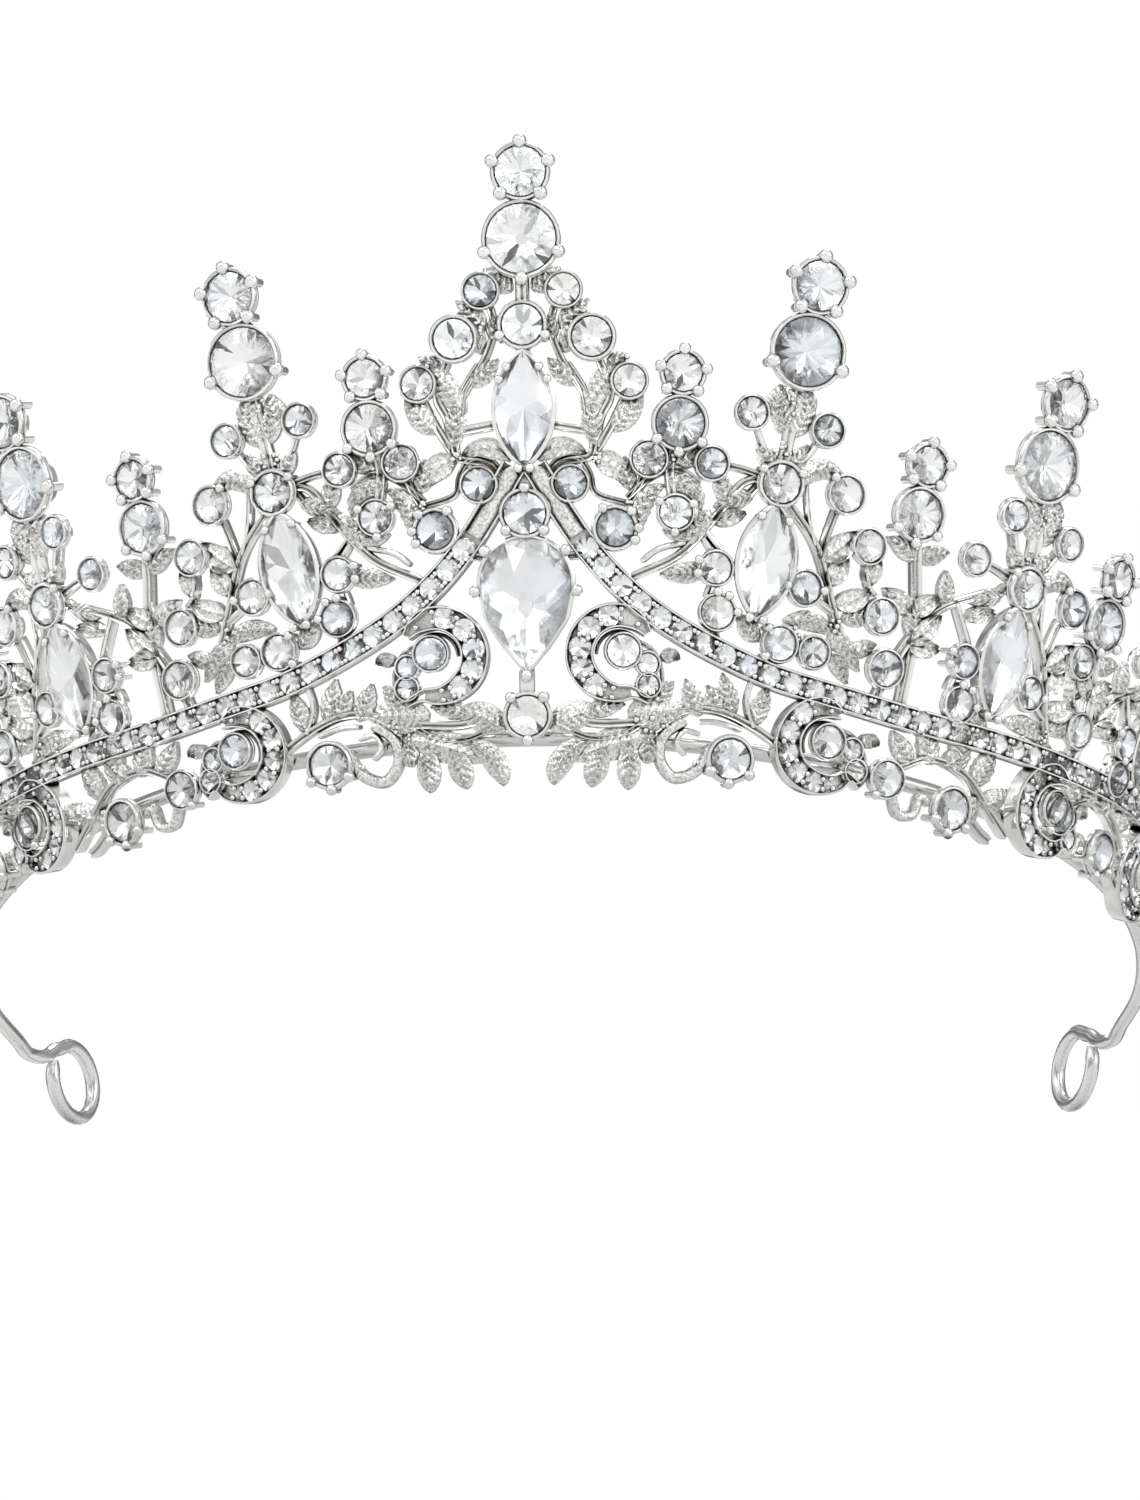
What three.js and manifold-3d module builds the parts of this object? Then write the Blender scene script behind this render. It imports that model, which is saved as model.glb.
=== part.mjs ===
// Bridal tiara: three openwork cast panels on a springy wire band, set with cut stones.
// Millimetres, +Z up, front towards -Y. The band's ring axis is the Z axis, and the ornament
// lies on a cone that leans outwards, so a place on it is [u, z]: u is the arc along the
// foot of the cone from the middle of the front, positive to the wearer's left (+X), and z
// is the height above the surface that the tiara stands on.
import * as THREE from "three";
import { ConvexGeometry } from "three/addons/geometries/ConvexGeometry.js";
import { mergeVertices } from "three/addons/utils/BufferGeometryUtils.js";
import Module from "manifold-3d";

const wasm = await Module();
wasm.setup();

// ---- driving dimensions -------------------------------------------------------------
const RING_RADIUS = 65.7; // foot of the cone, at z = 0
const FLARE = THREE.MathUtils.degToRad(22); // outward lean of the ornament
const CLEARANCE = 0.25; // between a stone and its seat, and between soldered pieces
const SEAT_WALL = 0.5; // metal around a stone
const CAST_BACK = -1.1; // back and face of the flat cast work, along the cone's normal
const CAST_FACE = 0.3;
const STEM_WIDTH = 0.9;
const BERRY_RIM = 0.3;
const BERRY_FACE = 1.1;
const BEAD_RADIUS = 0.85;

const RIBBON_WIDTH = 2.7;
const RIBBON_RAIL = 0.4;
const RIBBON_FACE = 0.8;
const RIBBON_GROOVE = 0.5;

const WIRE_RADIUS = 0.85;
const WIRE_HEIGHT = 5.9; // band centreline at the front
const ARM_HEIGHT = 5.3; // band centreline where the bare arms end
const LOOP_ANGLE = THREE.MathUtils.degToRad(116.5);
const LOOP_RADIUS = 4.3;

const SPIRE_STONE = 7.2;
const SPIRE_TOP_STONE = 5.2;
const SPIRELET_STONE = 5.0;
const SPIRELET_TOP_STONE = 3.9;
const NECK_STONE = 4.0;
const CENTRE_NECK_STONE = 4.2;
const COLLET_STONE = 4.3;
const BASE_STONE = 4.1;
const BERRY_STONE = 3.1;
const MARQUISE_LENGTH = 12;
const MARQUISE_WIDTH = 6;
const PEAR_LENGTH = 14;
const PEAR_WIDTH = 9.6;

const PANEL_JOINT_U = 40.3; // where a side panel meets the centre panel
const STONE_LIFT = 0.9; // girdle plane of the larger stones, above the cone
const GIRDLE = 0.12; // half the thickness of a stone's rim
const MARQUISE_POINT = 31; // height of the central marquise's lower point
const COLLET_HEIGHT = 26.5; // centre of the stone between the marquise and the pear

// The set ribbon, from the foot of the central marquise round to the end of a side panel.
const RIBBON_ROUTE = [
  [0.9, 31], [3.1, 27], [5.6, 23.2], [8.7, 19.8], [12.3, 17], [16.7, 14.7], [23.4, 12.4],
  [30.5, 11.4], [40.2, 10.8], [50, 11.1], [60, 11.6], [72, 12.2], [82, 11.6], [89, 9.4],
];

// One entry for each tall spire of a side, from the front backwards.
const SPIRES = [
  { u: 23.5, z: 43.8, foot: [21.9, 23.2], lean: 5, shrink: 1 },
  { u: 47.8, z: 38.8, foot: [48.2, 18.9], lean: 2, shrink: 1 },
  { u: 71.8, z: 33.0, foot: [71.8, 18.0], lean: 0, shrink: 0.85 },
];

// One entry for each short spire of a side: its stone, and the stem that carries it.
const SPIRELETS = [
  { u: 13.2, z: 35.6, crowned: true, stem: [[12.6, 31.4], [13.3, 27]] },
  { u: 35.8, z: 30.4, crowned: true, stem: [[36.7, 26], [37.8, 20], [37.9, 11]] },
  { u: 59.5, z: 26.4, crowned: true, stem: [[60.4, 22], [61.5, 17], [61.3, 11.6]] },
  { u: 83, z: 20.6, crowned: false, stem: [[83.4, 16], [83.4, 11.4]] },
];

// C-scrolls under the ribbon, and the single stones between them.
const SCROLLS = [[8.8, 13.2], [30.2, 6.6], [59.6, 7.1], [79.6, 7.0]];
const SCROLL_RADIUS = 4.1;
const SCROLL_WIDTH = 2.4;
const BASE_STONES = [[20.4, 3.9], [46, 3.4], [69.4, 5.8]];

// ---- the cone -----------------------------------------------------------------------
const coneRadius = (z) => RING_RADIUS + z * Math.tan(FLARE);
const stretch = (z) => coneRadius(z) / RING_RADIUS;

function conePoint(u, z, lift = 0) {
  const angle = u / RING_RADIUS;
  const radius = coneRadius(z) + lift * Math.cos(FLARE);
  return new THREE.Vector3(
    radius * Math.sin(angle),
    -radius * Math.cos(angle),
    z - lift * Math.sin(FLARE),
  );
}

// Frame at [u, z]: X along the cone, Y up its slope, Z out of it, turned by spin about Z.
function coneFrame([u, z], lift = 0, spin = 0) {
  const angle = u / RING_RADIUS;
  const along = new THREE.Vector3(Math.cos(angle), Math.sin(angle), 0);
  const out = conePoint(u, z, 1).sub(conePoint(u, z));
  const up = out.clone().cross(along);
  const frame = new THREE.Matrix4().makeBasis(along, up, out);
  frame.setPosition(conePoint(u, z, lift));
  return frame.multiply(new THREE.Matrix4().makeRotationZ(THREE.MathUtils.degToRad(spin)));
}

// The place reached from [u, z] by true lengths along the cone and up its slope.
function shifted([u, z], along, up) {
  const height = z + up * Math.cos(FLARE);
  return [u + along / stretch(height), height];
}

// ---- solids -------------------------------------------------------------------------
function solidOf(geometry) {
  const bare = geometry.index ? geometry.toNonIndexed() : geometry.clone();
  bare.deleteAttribute("normal");
  bare.deleteAttribute("uv");
  const merged = mergeVertices(bare, 1e-4);
  return new wasm.Manifold(new wasm.Mesh({
    numProp: 3,
    vertProperties: merged.attributes.position.array,
    triVerts: merged.index.array,
  }));
}

function geometryOf(solid) {
  const { vertProperties, triVerts } = solid.getMesh();
  const geometry = new THREE.BufferGeometry();
  geometry.setAttribute("position", new THREE.BufferAttribute(vertProperties, 3));
  geometry.setIndex(new THREE.BufferAttribute(triVerts, 1));
  return geometry;
}

const union = (solids) => solids.reduce((whole, next) => whole.add(next));

function eachPoint(geometry, change) {
  const position = geometry.attributes.position;
  const point = new THREE.Vector3();
  for (let i = 0; i < position.count; i += 1) {
    const { x, y, z } = change(point.fromBufferAttribute(position, i));
    position.setXYZ(i, x, y, z);
  }
  return geometry;
}

// The cast work is drawn flat, with u, z and the lift as its axes, and laid on the cone whole.
function laidOnCone(flatSolid) {
  return solidOf(eachPoint(geometryOf(flatSolid), ({ x, y, z }) => conePoint(x, y, z)));
}

// A shape modelled in true lengths about its own centre, put into the flat drawing.
function drawnAt(place, geometry, lift = 0) {
  return solidOf(eachPoint(geometry, ({ x, y, z }) => {
    const [u, height] = shifted(place, x, y);
    return { x: u, y: height, z: z + lift };
  }));
}

function sheet(outline, back, face) {
  const shape = new THREE.Shape(outline.map(([u, z]) => new THREE.Vector2(u, z)));
  const options = { depth: face - back, bevelEnabled: false };
  return solidOf(new THREE.ExtrudeGeometry(shape, options).translate(0, 0, back));
}

// The outline of a band of even or tapering width along a smooth route of [u, z] places.
function bandOutline(route, width, steps) {
  const curve = new THREE.CatmullRomCurve3(route.map(([u, z]) => new THREE.Vector3(u, z, 0)));
  const left = [];
  const right = [];
  for (let i = 0; i <= steps; i += 1) {
    const { x: u, y: z } = curve.getPoint(i / steps);
    const direction = curve.getTangent(i / steps);
    const along = direction.x * stretch(z);
    const up = direction.y / Math.cos(FLARE);
    const half = (typeof width === "function" ? width(i / steps) : width) / 2;
    const scale = half / Math.hypot(along, up);
    left.push(shifted([u, z], -up * scale, along * scale));
    right.push(shifted([u, z], up * scale, -along * scale));
  }
  return [...left, ...right.reverse()];
}

function stem(route, width = STEM_WIDTH) {
  const steps = route.length < 4 ? route.length - 1 : route.length + 1;
  return sheet(bandOutline(route, width, steps), CAST_BACK, CAST_FACE);
}

// A pointed leaf from its foot at [u, z], growing at the given angle from straight out.
function leaf(foot, angle, length, width = length * 0.42) {
  const turn = THREE.MathUtils.degToRad(angle);
  const outline = [[0, -0.2], [0.45, -0.5], [1, 0], [0.45, 0.5], [0, 0.2]];
  const places = outline.map(([reach, side]) => {
    const x = reach * length;
    const y = side * width;
    return shifted(foot, x * Math.cos(turn) - y * Math.sin(turn), x * Math.sin(turn) + y * Math.cos(turn));
  });
  return sheet(places, CAST_BACK, CAST_FACE);
}

function lathe(profile, sides) {
  const points = profile.map(([radius, height]) => new THREE.Vector2(radius, height));
  return new THREE.LatheGeometry(points, sides).rotateX(Math.PI / 2);
}

// A small stone closed in its cup, cast in one with the panel.
function berry(place, diameter = BERRY_STONE) {
  const rim = diameter / 2 + BERRY_RIM;
  return drawnAt(place, lathe([[0, CAST_BACK], [rim, CAST_BACK], [rim, BERRY_FACE], [0, BERRY_FACE]], 6));
}

function bead(place, angle, distance) {
  const turn = THREE.MathUtils.degToRad(angle);
  const at = shifted(place, distance * Math.cos(turn), distance * Math.sin(turn));
  return drawnAt(at, new THREE.OctahedronGeometry(BEAD_RADIUS), STONE_LIFT);
}

// ---- stones and their settings ------------------------------------------------------
const seatDepth = (diameter) => 0.34 * diameter;

const roundSides = (diameter) => (diameter > 6 ? 10 : 8);

// A brilliant cut: flat table, sloping crown, thin girdle, pointed back.
function roundStone(diameter) {
  const radius = diameter / 2;
  const table = 0.17 * diameter;
  return lathe([
    [0, -seatDepth(diameter)], [radius, -GIRDLE], [radius, GIRDLE], [radius * 0.62, table], [0, table],
  ], roundSides(diameter));
}

function marquiseOutline(length, width, grow) {
  const bulge = (length * length - width * width) / (4 * width);
  const radius = bulge + width / 2 + grow;
  const tip = Math.asin((length / 2 + grow) / radius);
  const outline = [];
  for (const side of [1, -1]) {
    for (let i = 0; i < 5; i += 1) {
      const angle = tip - (2 * tip * i) / 5;
      outline.push([side * (radius * Math.cos(angle) - bulge), side * radius * Math.sin(angle)]);
    }
  }
  return outline.reverse();
}

// Round shoulders above, straight flanks meeting in a blunt point below.
function pearOutline(length, width, grow) {
  const radius = width / 2 + grow;
  const centre = (length - width) / 2;
  const point = -length / 2 - grow;
  const outline = [[radius * 0.14, point], [radius * 0.98, centre - radius * 0.25]];
  for (let i = 0; i <= 6; i += 1) {
    const angle = (Math.PI * i) / 6;
    outline.push([radius * Math.cos(angle), centre + radius * Math.sin(angle)]);
  }
  outline.push([-radius * 0.98, centre - radius * 0.25], [-radius * 0.14, point]);
  return outline;
}

function prism(outline, back, face) {
  const shape = new THREE.Shape(outline.map(([x, y]) => new THREE.Vector2(x, y)));
  const options = { depth: face - back, bevelEnabled: false };
  return new THREE.ExtrudeGeometry(shape, options).translate(0, 0, back);
}

// A long stone: the hull of its girdle, a smaller table before it and a keel behind it.
function longStone(outline, width) {
  const ring = (scale, height) => outline.map(([x, y]) => new THREE.Vector3(x * scale, y * scale, height));
  const depth = width * 0.2;
  return new ConvexGeometry([...ring(0.6, depth), ...ring(1, GIRDLE), ...ring(1, -GIRDLE), ...ring(0.3, -depth)]);
}

const metal = () => new THREE.MeshStandardMaterial({ color: 0xc9c9c6, roughness: 0.22, metalness: 1 });
const crystal = () => new THREE.MeshStandardMaterial({ color: 0xe6edf2, roughness: 0.05, metalness: 0.1 });

const tiara = new THREE.Group();

function addMesh(name, geometry, material) {
  const mesh = new THREE.Mesh(geometry, material);
  mesh.name = name;
  tiara.add(mesh);
  return mesh;
}

// Seats gathered as the stones are set, to be cut out of the cast work at the end.
const seats = [];

function setStone(name, place, spin, stone, seat) {
  addMesh(name, stone, crystal()).applyMatrix4(coneFrame(place, STONE_LIFT, spin));
  seats.push(drawnAt(place, seat, STONE_LIFT));
}

// A round stone in its cup, with beads at the given angles around the rim.
function setRound(name, place, diameter, beads = []) {
  const radius = diameter / 2;
  const inner = radius + CLEARANCE;
  const outer = inner + SEAT_WALL;
  const floor = -seatDepth(diameter) - CLEARANCE;
  const bottom = Math.min(floor - SEAT_WALL, CAST_BACK - STONE_LIFT);
  const sides = roundSides(diameter);
  const cup = lathe([[0, bottom], [outer, bottom], [outer, 0.3], [0, 0.3]], sides);
  const seat = lathe([[0, floor], [inner, floor], [inner, 3], [0, 3]], sides);
  setStone(name, place, 0, roundStone(diameter), seat);
  return union([
    drawnAt(place, cup, STONE_LIFT),
    ...beads.map((angle) => bead(place, angle, outer + 0.2)),
  ]);
}

function setLong(name, place, spin, outlineOf, width) {
  const floor = -width * 0.2 - CLEARANCE;
  const bottom = Math.min(floor - SEAT_WALL, CAST_BACK - STONE_LIFT);
  const turn = THREE.MathUtils.degToRad(spin);
  const cup = prism(outlineOf(CLEARANCE + SEAT_WALL), bottom, 0.3).rotateZ(turn);
  const seat = prism(outlineOf(CLEARANCE), floor, 3).rotateZ(turn);
  setStone(name, place, spin, longStone(outlineOf(0), width), seat);
  return drawnAt(place, cup, STONE_LIFT);
}

// ---- ornament of one side, drawn for sign +1 (wearer's left) or -1 ------------------
function sideTools(sign) {
  const at = ([u, z]) => [u * sign, z];
  const turn = (angle) => (sign > 0 ? angle : 180 - angle);
  return {
    at,
    turn,
    stem: (route, width) => stem(route.map(at), width),
    leaf: (foot, angle, length, width) => leaf(at(foot), turn(angle), length, width),
    berry: (place, diameter) => berry(at(place), diameter),
    // A berry on a stem of its own from a place on the work around it.
    twig: (route, diameter) => berry(at(route[0]), diameter).add(stem(route.map(at))),
  };
}

// Height of the ribbon's centreline at u, for what stands on it or hangs from it.
function ribbonHeight(u) {
  const next = RIBBON_ROUTE.findIndex((place) => place[0] > u);
  const [fromU, fromZ] = RIBBON_ROUTE[next - 1];
  const [toU, toZ] = RIBBON_ROUTE[next];
  return THREE.MathUtils.mapLinear(u, fromU, toU, fromZ, toZ);
}

const onRibbon = (u) => [u, ribbonHeight(u)];

function ribbon({ at }) {
  const route = RIBBON_ROUTE.map(at);
  const steps = 20;
  const body = sheet(bandOutline(route, RIBBON_WIDTH, steps), CAST_BACK, RIBBON_FACE);
  const grooveWidth = RIBBON_WIDTH - 2 * RIBBON_RAIL;
  const groove = sheet(bandOutline(route.slice(2), grooveWidth, steps - 2), RIBBON_FACE - RIBBON_GROOVE, 3);
  return body.subtract(groove);
}

// A crescent that opens outwards, ending below in a tail, around a single berry on a ring.
function scroll({ at, stem: bar, berry: dome }, [u, z]) {
  const reach = SCROLL_RADIUS;
  const turns = [35, 75, 115, 155, 195, 235, 275];
  const route = turns.map((turn) => {
    const angle = THREE.MathUtils.degToRad(turn);
    return shifted([u, z], reach * Math.cos(angle), reach * Math.sin(angle));
  });
  route.push(shifted([u, z], reach * 0.75, -reach * 1.02));
  const widths = (t) => SCROLL_WIDTH * (0.45 + 0.55 * Math.sin(Math.PI * Math.min(1, t + 0.12)));
  const crescent = sheet(bandOutline(route.map(at), widths, 10), CAST_BACK, RIBBON_FACE);
  const inner = shifted([u, z], 0, 0.3);
  const second = shifted([u, z], 2.9, -0.6);
  return union([
    crescent,
    dome(inner),
    bar([shifted([u, z], -reach, 0.3), inner]),
    bar([inner, second, shifted([u, z], 2.6, -reach)], 1.6),
  ]);
}

function spirelet({ at, stem: bar, leaf: blade }, name, { u, z, crowned, stem: route }) {
  const place = at([u, z]);
  const side = SPIRELET_STONE / 2 + CLEARANCE + SEAT_WALL + 0.2;
  const parts = [
    setRound(`${name}_stone`, place, SPIRELET_STONE),
    bar([[u, z], ...route], STEM_WIDTH * 1.3),
  ];
  if (crowned) {
    const rise = stackRise(SPIRELET_STONE, SPIRELET_TOP_STONE);
    const top = shifted(place, 0, rise);
    parts.push(setRound(`${name}_top_stone`, top, SPIRELET_TOP_STONE, [90]));
    parts.push(bar([[u, z], [u, top[1]]], STEM_WIDTH * 2));
  } else {
    parts.push(blade(shifted([u, z], 0, side - 0.6), 90, 4.4));
  }
  const [low] = route;
  parts.push(blade(low, 35, 4), blade(low, 145, 4));
  return union(parts);
}

// Height between the centres of two stones set one above the other.
const stackRise = (below, above) => (below + above) / 2 + 2 * CLEARANCE + 0.3;

// A tall spire: two stones, a neck stone, a marquise at the foot, and its foliage.
function spire(tools, name, { u, z, foot, lean, shrink }) {
  const { at, turn, stem: bar, leaf: blade, berry: dome, twig } = tools;
  const from = (along, up) => [foot[0] + along * shrink, foot[1] + up * shrink];
  const neckRise = (MARQUISE_LENGTH + NECK_STONE) / 2 + 0.2;
  const neck = from(0.6, neckRise * Math.cos(FLARE));
  const bigSize = SPIRE_STONE * shrink;
  const topSize = SPIRE_TOP_STONE * shrink;
  const rise = stackRise(bigSize, topSize);
  const top = shifted([u, z], 0.5 * shrink, rise);
  const marquise = (grow) => marquiseOutline(MARQUISE_LENGTH * shrink, MARQUISE_WIDTH * shrink, grow);
  const spin = turn(-lean) === -lean ? -lean : lean;
  return union([
    setRound(`${name}_stone`, at([u, z]), bigSize),
    setRound(`${name}_top_stone`, at(top), topSize, [90, 25, 155].map(turn)),
    setRound(`${name}_neck_stone`, at(neck), NECK_STONE * shrink),
    setLong(`${name}_marquise`, at(foot), spin, marquise, MARQUISE_WIDTH * shrink),
    bar([top, [u, z], neck, foot, onRibbon(foot[0])], STEM_WIDTH * 1.6),
    // berries and leaves below the spire
    twig([from(-2.6, 14), neck]),
    twig([from(3.9, 13.4), neck]),
    blade(from(-0.2, 11), 118, 4.6),
    // arched leaf and the berry under its tip
    twig([from(6, 7.3), from(3.6, 9.2), neck], 3.5),
    // foliage on the outer side
    bar([from(1.4, 6), from(5, 1.2), from(8, -7), onRibbon(foot[0] + 8 * shrink)]),
    twig([from(9.7, 3), from(5, 1.2)]),
    twig([from(12, -3.3), from(6.6, -3.4)]),
    blade(from(5, 1.2), 84, 4.4),
    blade(from(7.6, -5.4), 28, 4.2),
    twig([from(4, -2), foot]),
    // berries that sit on the ribbon
    dome(from(2.3, -8.2), 3.4),
    twig([from(13.2, -8), onRibbon(foot[0] + 13.2 * shrink)], 3.6),
    // foliage on the inner side
    dome(from(-4, -5.3), 3.3),
    twig([from(-4.5, -1.1), onRibbon(foot[0] - 4 * shrink)]),
    blade(from(-4.4, -1.6), 190, 3),
    twig([from(-5.6, 8.6), neck]),
  ]);
}

// ---- the middle of the front --------------------------------------------------------
// Place of a stone above (or, with a negative gap, below) one at [0, z], given both lengths.
function nextUp([, z], length, nextLength, gap) {
  const rise = Math.sign(gap) * ((length + nextLength) / 2) + gap;
  return shifted([0, z], 0, rise);
}

function centrePlaces() {
  const marquise = shifted([0, MARQUISE_POINT], 0, MARQUISE_LENGTH / 2);
  const neck = nextUp(marquise, MARQUISE_LENGTH, CENTRE_NECK_STONE, 0.6);
  const spire = nextUp(neck, CENTRE_NECK_STONE, SPIRE_STONE, 3.2);
  const collet = [0, COLLET_HEIGHT];
  const pear = nextUp(collet, COLLET_STONE, PEAR_LENGTH, -0.3);
  const base = nextUp(pear, PEAR_LENGTH, BASE_STONE, -2.4);
  return { spire, neck, marquise, collet, pear, base };
}

function centreColumn() {
  const { spire: big, neck, marquise, collet, pear, base } = centrePlaces();
  const top = shifted(big, 0, stackRise(SPIRE_STONE, SPIRE_TOP_STONE));
  const longWhite = (grow) => marquiseOutline(MARQUISE_LENGTH, MARQUISE_WIDTH, grow);
  const drop = (grow) => pearOutline(PEAR_LENGTH, PEAR_WIDTH, grow);
  return union([
    setRound("centre_spire_top_stone", top, SPIRE_TOP_STONE, [90, 20, 160, -35, 215]),
    setRound("centre_spire_stone", big, SPIRE_STONE),
    setRound("centre_neck_stone", neck, CENTRE_NECK_STONE),
    setLong("centre_marquise", marquise, 0, longWhite, MARQUISE_WIDTH),
    setRound("centre_collet_stone", collet, COLLET_STONE),
    setLong("centre_pear_stone", pear, 0, drop, PEAR_WIDTH),
    setRound("centre_base_stone", base, BASE_STONE, [-90]),
    stem([top, big, neck, marquise, collet, pear, base], STEM_WIDTH * 1.6),
  ]);
}

// One half of the foliage around the central stones.
function centreFoliage({ at, turn, stem: bar, leaf: blade, berry: dome, twig }) {
  const junction = [5.8, 32.2];
  return union([
    setRound(`${turn(0) === 0 ? "left" : "right"}_crest_stone`, at([5.6, 43.5]), 4.1),
    setRound(`${turn(0) === 0 ? "left" : "right"}_collar_stone`, at([8, 25.2]), 3.8),
    bar([[0.6, 30.6], junction, [5.2, 38], [2.2, 44.3], [3.3, 48], [0, 51]]),
    dome([3.3, 48]),
    bar([[5.6, 43.5], [3.9, 41.4]]),
    twig([[8.8, 39.4], [7.4, 36], junction]),
    blade([6.3, 35], 96, 4.6),
    blade([7, 34.6], 50, 5.4),
    // small stone beside the ribbon's head, under an arched leaf
    twig([[10.7, 32], [8.8, 33.6], junction], 3.4),
    twig([[4, 29.6], junction], 3.2),
    blade([5.4, 31.9], -38, 4.4),
    bar([onRibbon(5), [8, 25.2], [13.3, 27]]),
    // wreath of three leaves around a stone
    dome([13.3, 27], 3.3),
    blade([10.4, 25.6], 108, 5),
    blade([11.6, 29.6], 8, 4.6),
    blade([15.2, 29], -72, 5),
    // long stem that climbs from the ribbon to the first side spire
    bar([onRibbon(9), [14.2, 23.6], [18, 28.9], [22.6, 30.9]]),
    bar([[10.7, 32], [12.7, 31.4]]),
    // side bars of the pear's setting
    bar([[0, 22.4], [6.4, 22.6]]),
  ]);
}

// Leaves that hang between the middle stone and the first scroll. The tips of the longer two
// are dressed flat at z = 0 and are the tiara's front feet.
function hangingLeaves({ stem: bar, leaf: blade }) {
  return union([
    bar([[0, 7.1], [6.4, 7.2], [12.4, 7.6]], 1.4),
    bar([[2.6, 6.8], [6.4, 4.4], [10.6, 6.6]], 1.3),
    blade([4.4, 5], -122, 5.6),
    blade([6.4, 4.8], -98, 6.2),
    blade([9.4, 5.6], -92, 7),
    // arch over the first base stone, and its curl
    bar([[11, 7.4], [14.4, 6], [20.4, 8.6], [26.4, 6.2]], 1.1),
    bar([[14.4, 6], [13.6, 3.4], [20.4, 3.9], [25.4, 3.4]]),
    blade([15.4, 6.8], 120, 4.2),
    blade([18.4, 8.2], 100, 5),
    bar([[20.8, 8.4], onRibbon(22)]),
  ]);
}

// The lower row between two scrolls: a link stone, a curl, the base stone and three leaves.
function baseLink({ stem: bar, leaf: blade, twig }, [u, z]) {
  const from = (along, up) => [u + along, z + up];
  return union([
    twig([from(-8.4, 1.4), from(-13.2, 1.6)], 3.6),
    bar([from(-8.4, 1.4), from(-4, -1), from(0, 0)]),
    bar([from(-8.4, 1.4), from(-1.6, 3.8), from(5, -1)], 1.1),
    blade(from(-2, 3.6), 112, 4.2),
    blade(from(3, 1.6), 84, 5.6),
    bar([from(-0.4, 3.4), onRibbon(u)]),
    bar([from(4, 0), from(9, 2.6)]),
  ]);
}

// The last leaves and the curl where the ribbon runs down onto the band.
function panelEnd({ stem: bar, leaf: blade }) {
  return union([
    bar([[82, 11.4], [86.6, 6.4], [89.6, 4.8]], 1.2),
    bar([[78, 4], [84, 4.2], [89.6, 4.8]], 1.2),
    bar([[89.6, 4.8], [90.4, 7.4], [88.6, 9.6]], 1.6),
    blade([86, 11], 78, 5),
    blade([88, 10], 40, 4.4),
    blade([70, 13], 100, 3.6),
  ]);
}

function sideWork(sign, side) {
  const tools = sideTools(sign);
  return union([
    ribbon(tools),
    centreFoliage(tools),
    hangingLeaves(tools),
    panelEnd(tools),
    ...SPIRES.map((entry, i) => spire(tools, `${side}_spire_${i + 1}`, entry)),
    ...SPIRELETS.map((entry, i) => spirelet(tools, `${side}_spirelet_${i + 1}`, entry)),
    ...SCROLLS.map((place) => scroll(tools, place)),
    ...BASE_STONES.map((place, i) => (
      setRound(`${side}_base_stone_${i + 1}`, tools.at(place), BASE_STONE, [-90])
    )),
    ...BASE_STONES.slice(1).map((place) => baseLink(tools, place)),
  ]);
}

// ---- cutting the cast work into its three panels ------------------------------------
function groundBlock() {
  const size = 4 * RING_RADIUS;
  return solidOf(new THREE.BoxGeometry(size, size, 20).translate(0, 0, -10));
}

// Everything within a range of u, as a wedge from the ring axis outwards.
function wedge(fromU, toU) {
  const far = 3 * RING_RADIUS;
  const shape = new THREE.Shape([new THREE.Vector2(0, 0)]);
  const count = 6;
  for (let i = 0; i <= count; i += 1) {
    const angle = (fromU + ((toU - fromU) * i) / count) / RING_RADIUS;
    shape.lineTo(far * Math.sin(angle), -far * Math.cos(angle));
  }
  return solidOf(new THREE.ExtrudeGeometry(shape, { depth: 120, bevelEnabled: false }).translate(0, 0, -20));
}

function addPanels() {
  const drawing = union([centreColumn(), sideWork(1, "left"), sideWork(-1, "right")]);
  const cast = laidOnCone(drawing.subtract(union(seats))).subtract(groundBlock());
  const joint = CLEARANCE / 2;
  const endU = RING_RADIUS * Math.PI * 0.6;
  const panels = {
    centre_panel: wedge(-PANEL_JOINT_U + joint, PANEL_JOINT_U - joint),
    left_panel: wedge(PANEL_JOINT_U + joint, endU),
    right_panel: wedge(-endU, -PANEL_JOINT_U - joint),
  };
  for (const [name, range] of Object.entries(panels)) {
    addMesh(name, geometryOf(cast.intersect(range)), metal());
  }
}

// ---- the band -----------------------------------------------------------------------
// A curve whose stations are its own points, so that they can be close in the loops.
class StationCurve extends THREE.CatmullRomCurve3 {
  getPointAt(t) {
    return this.getPoint(t);
  }

  getTangentAt(t) {
    return this.getTangent(t);
  }
}

function bandRadius(z) {
  return coneRadius(z) + (CAST_BACK - CLEARANCE - WIRE_RADIUS) / Math.cos(FLARE);
}

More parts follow.
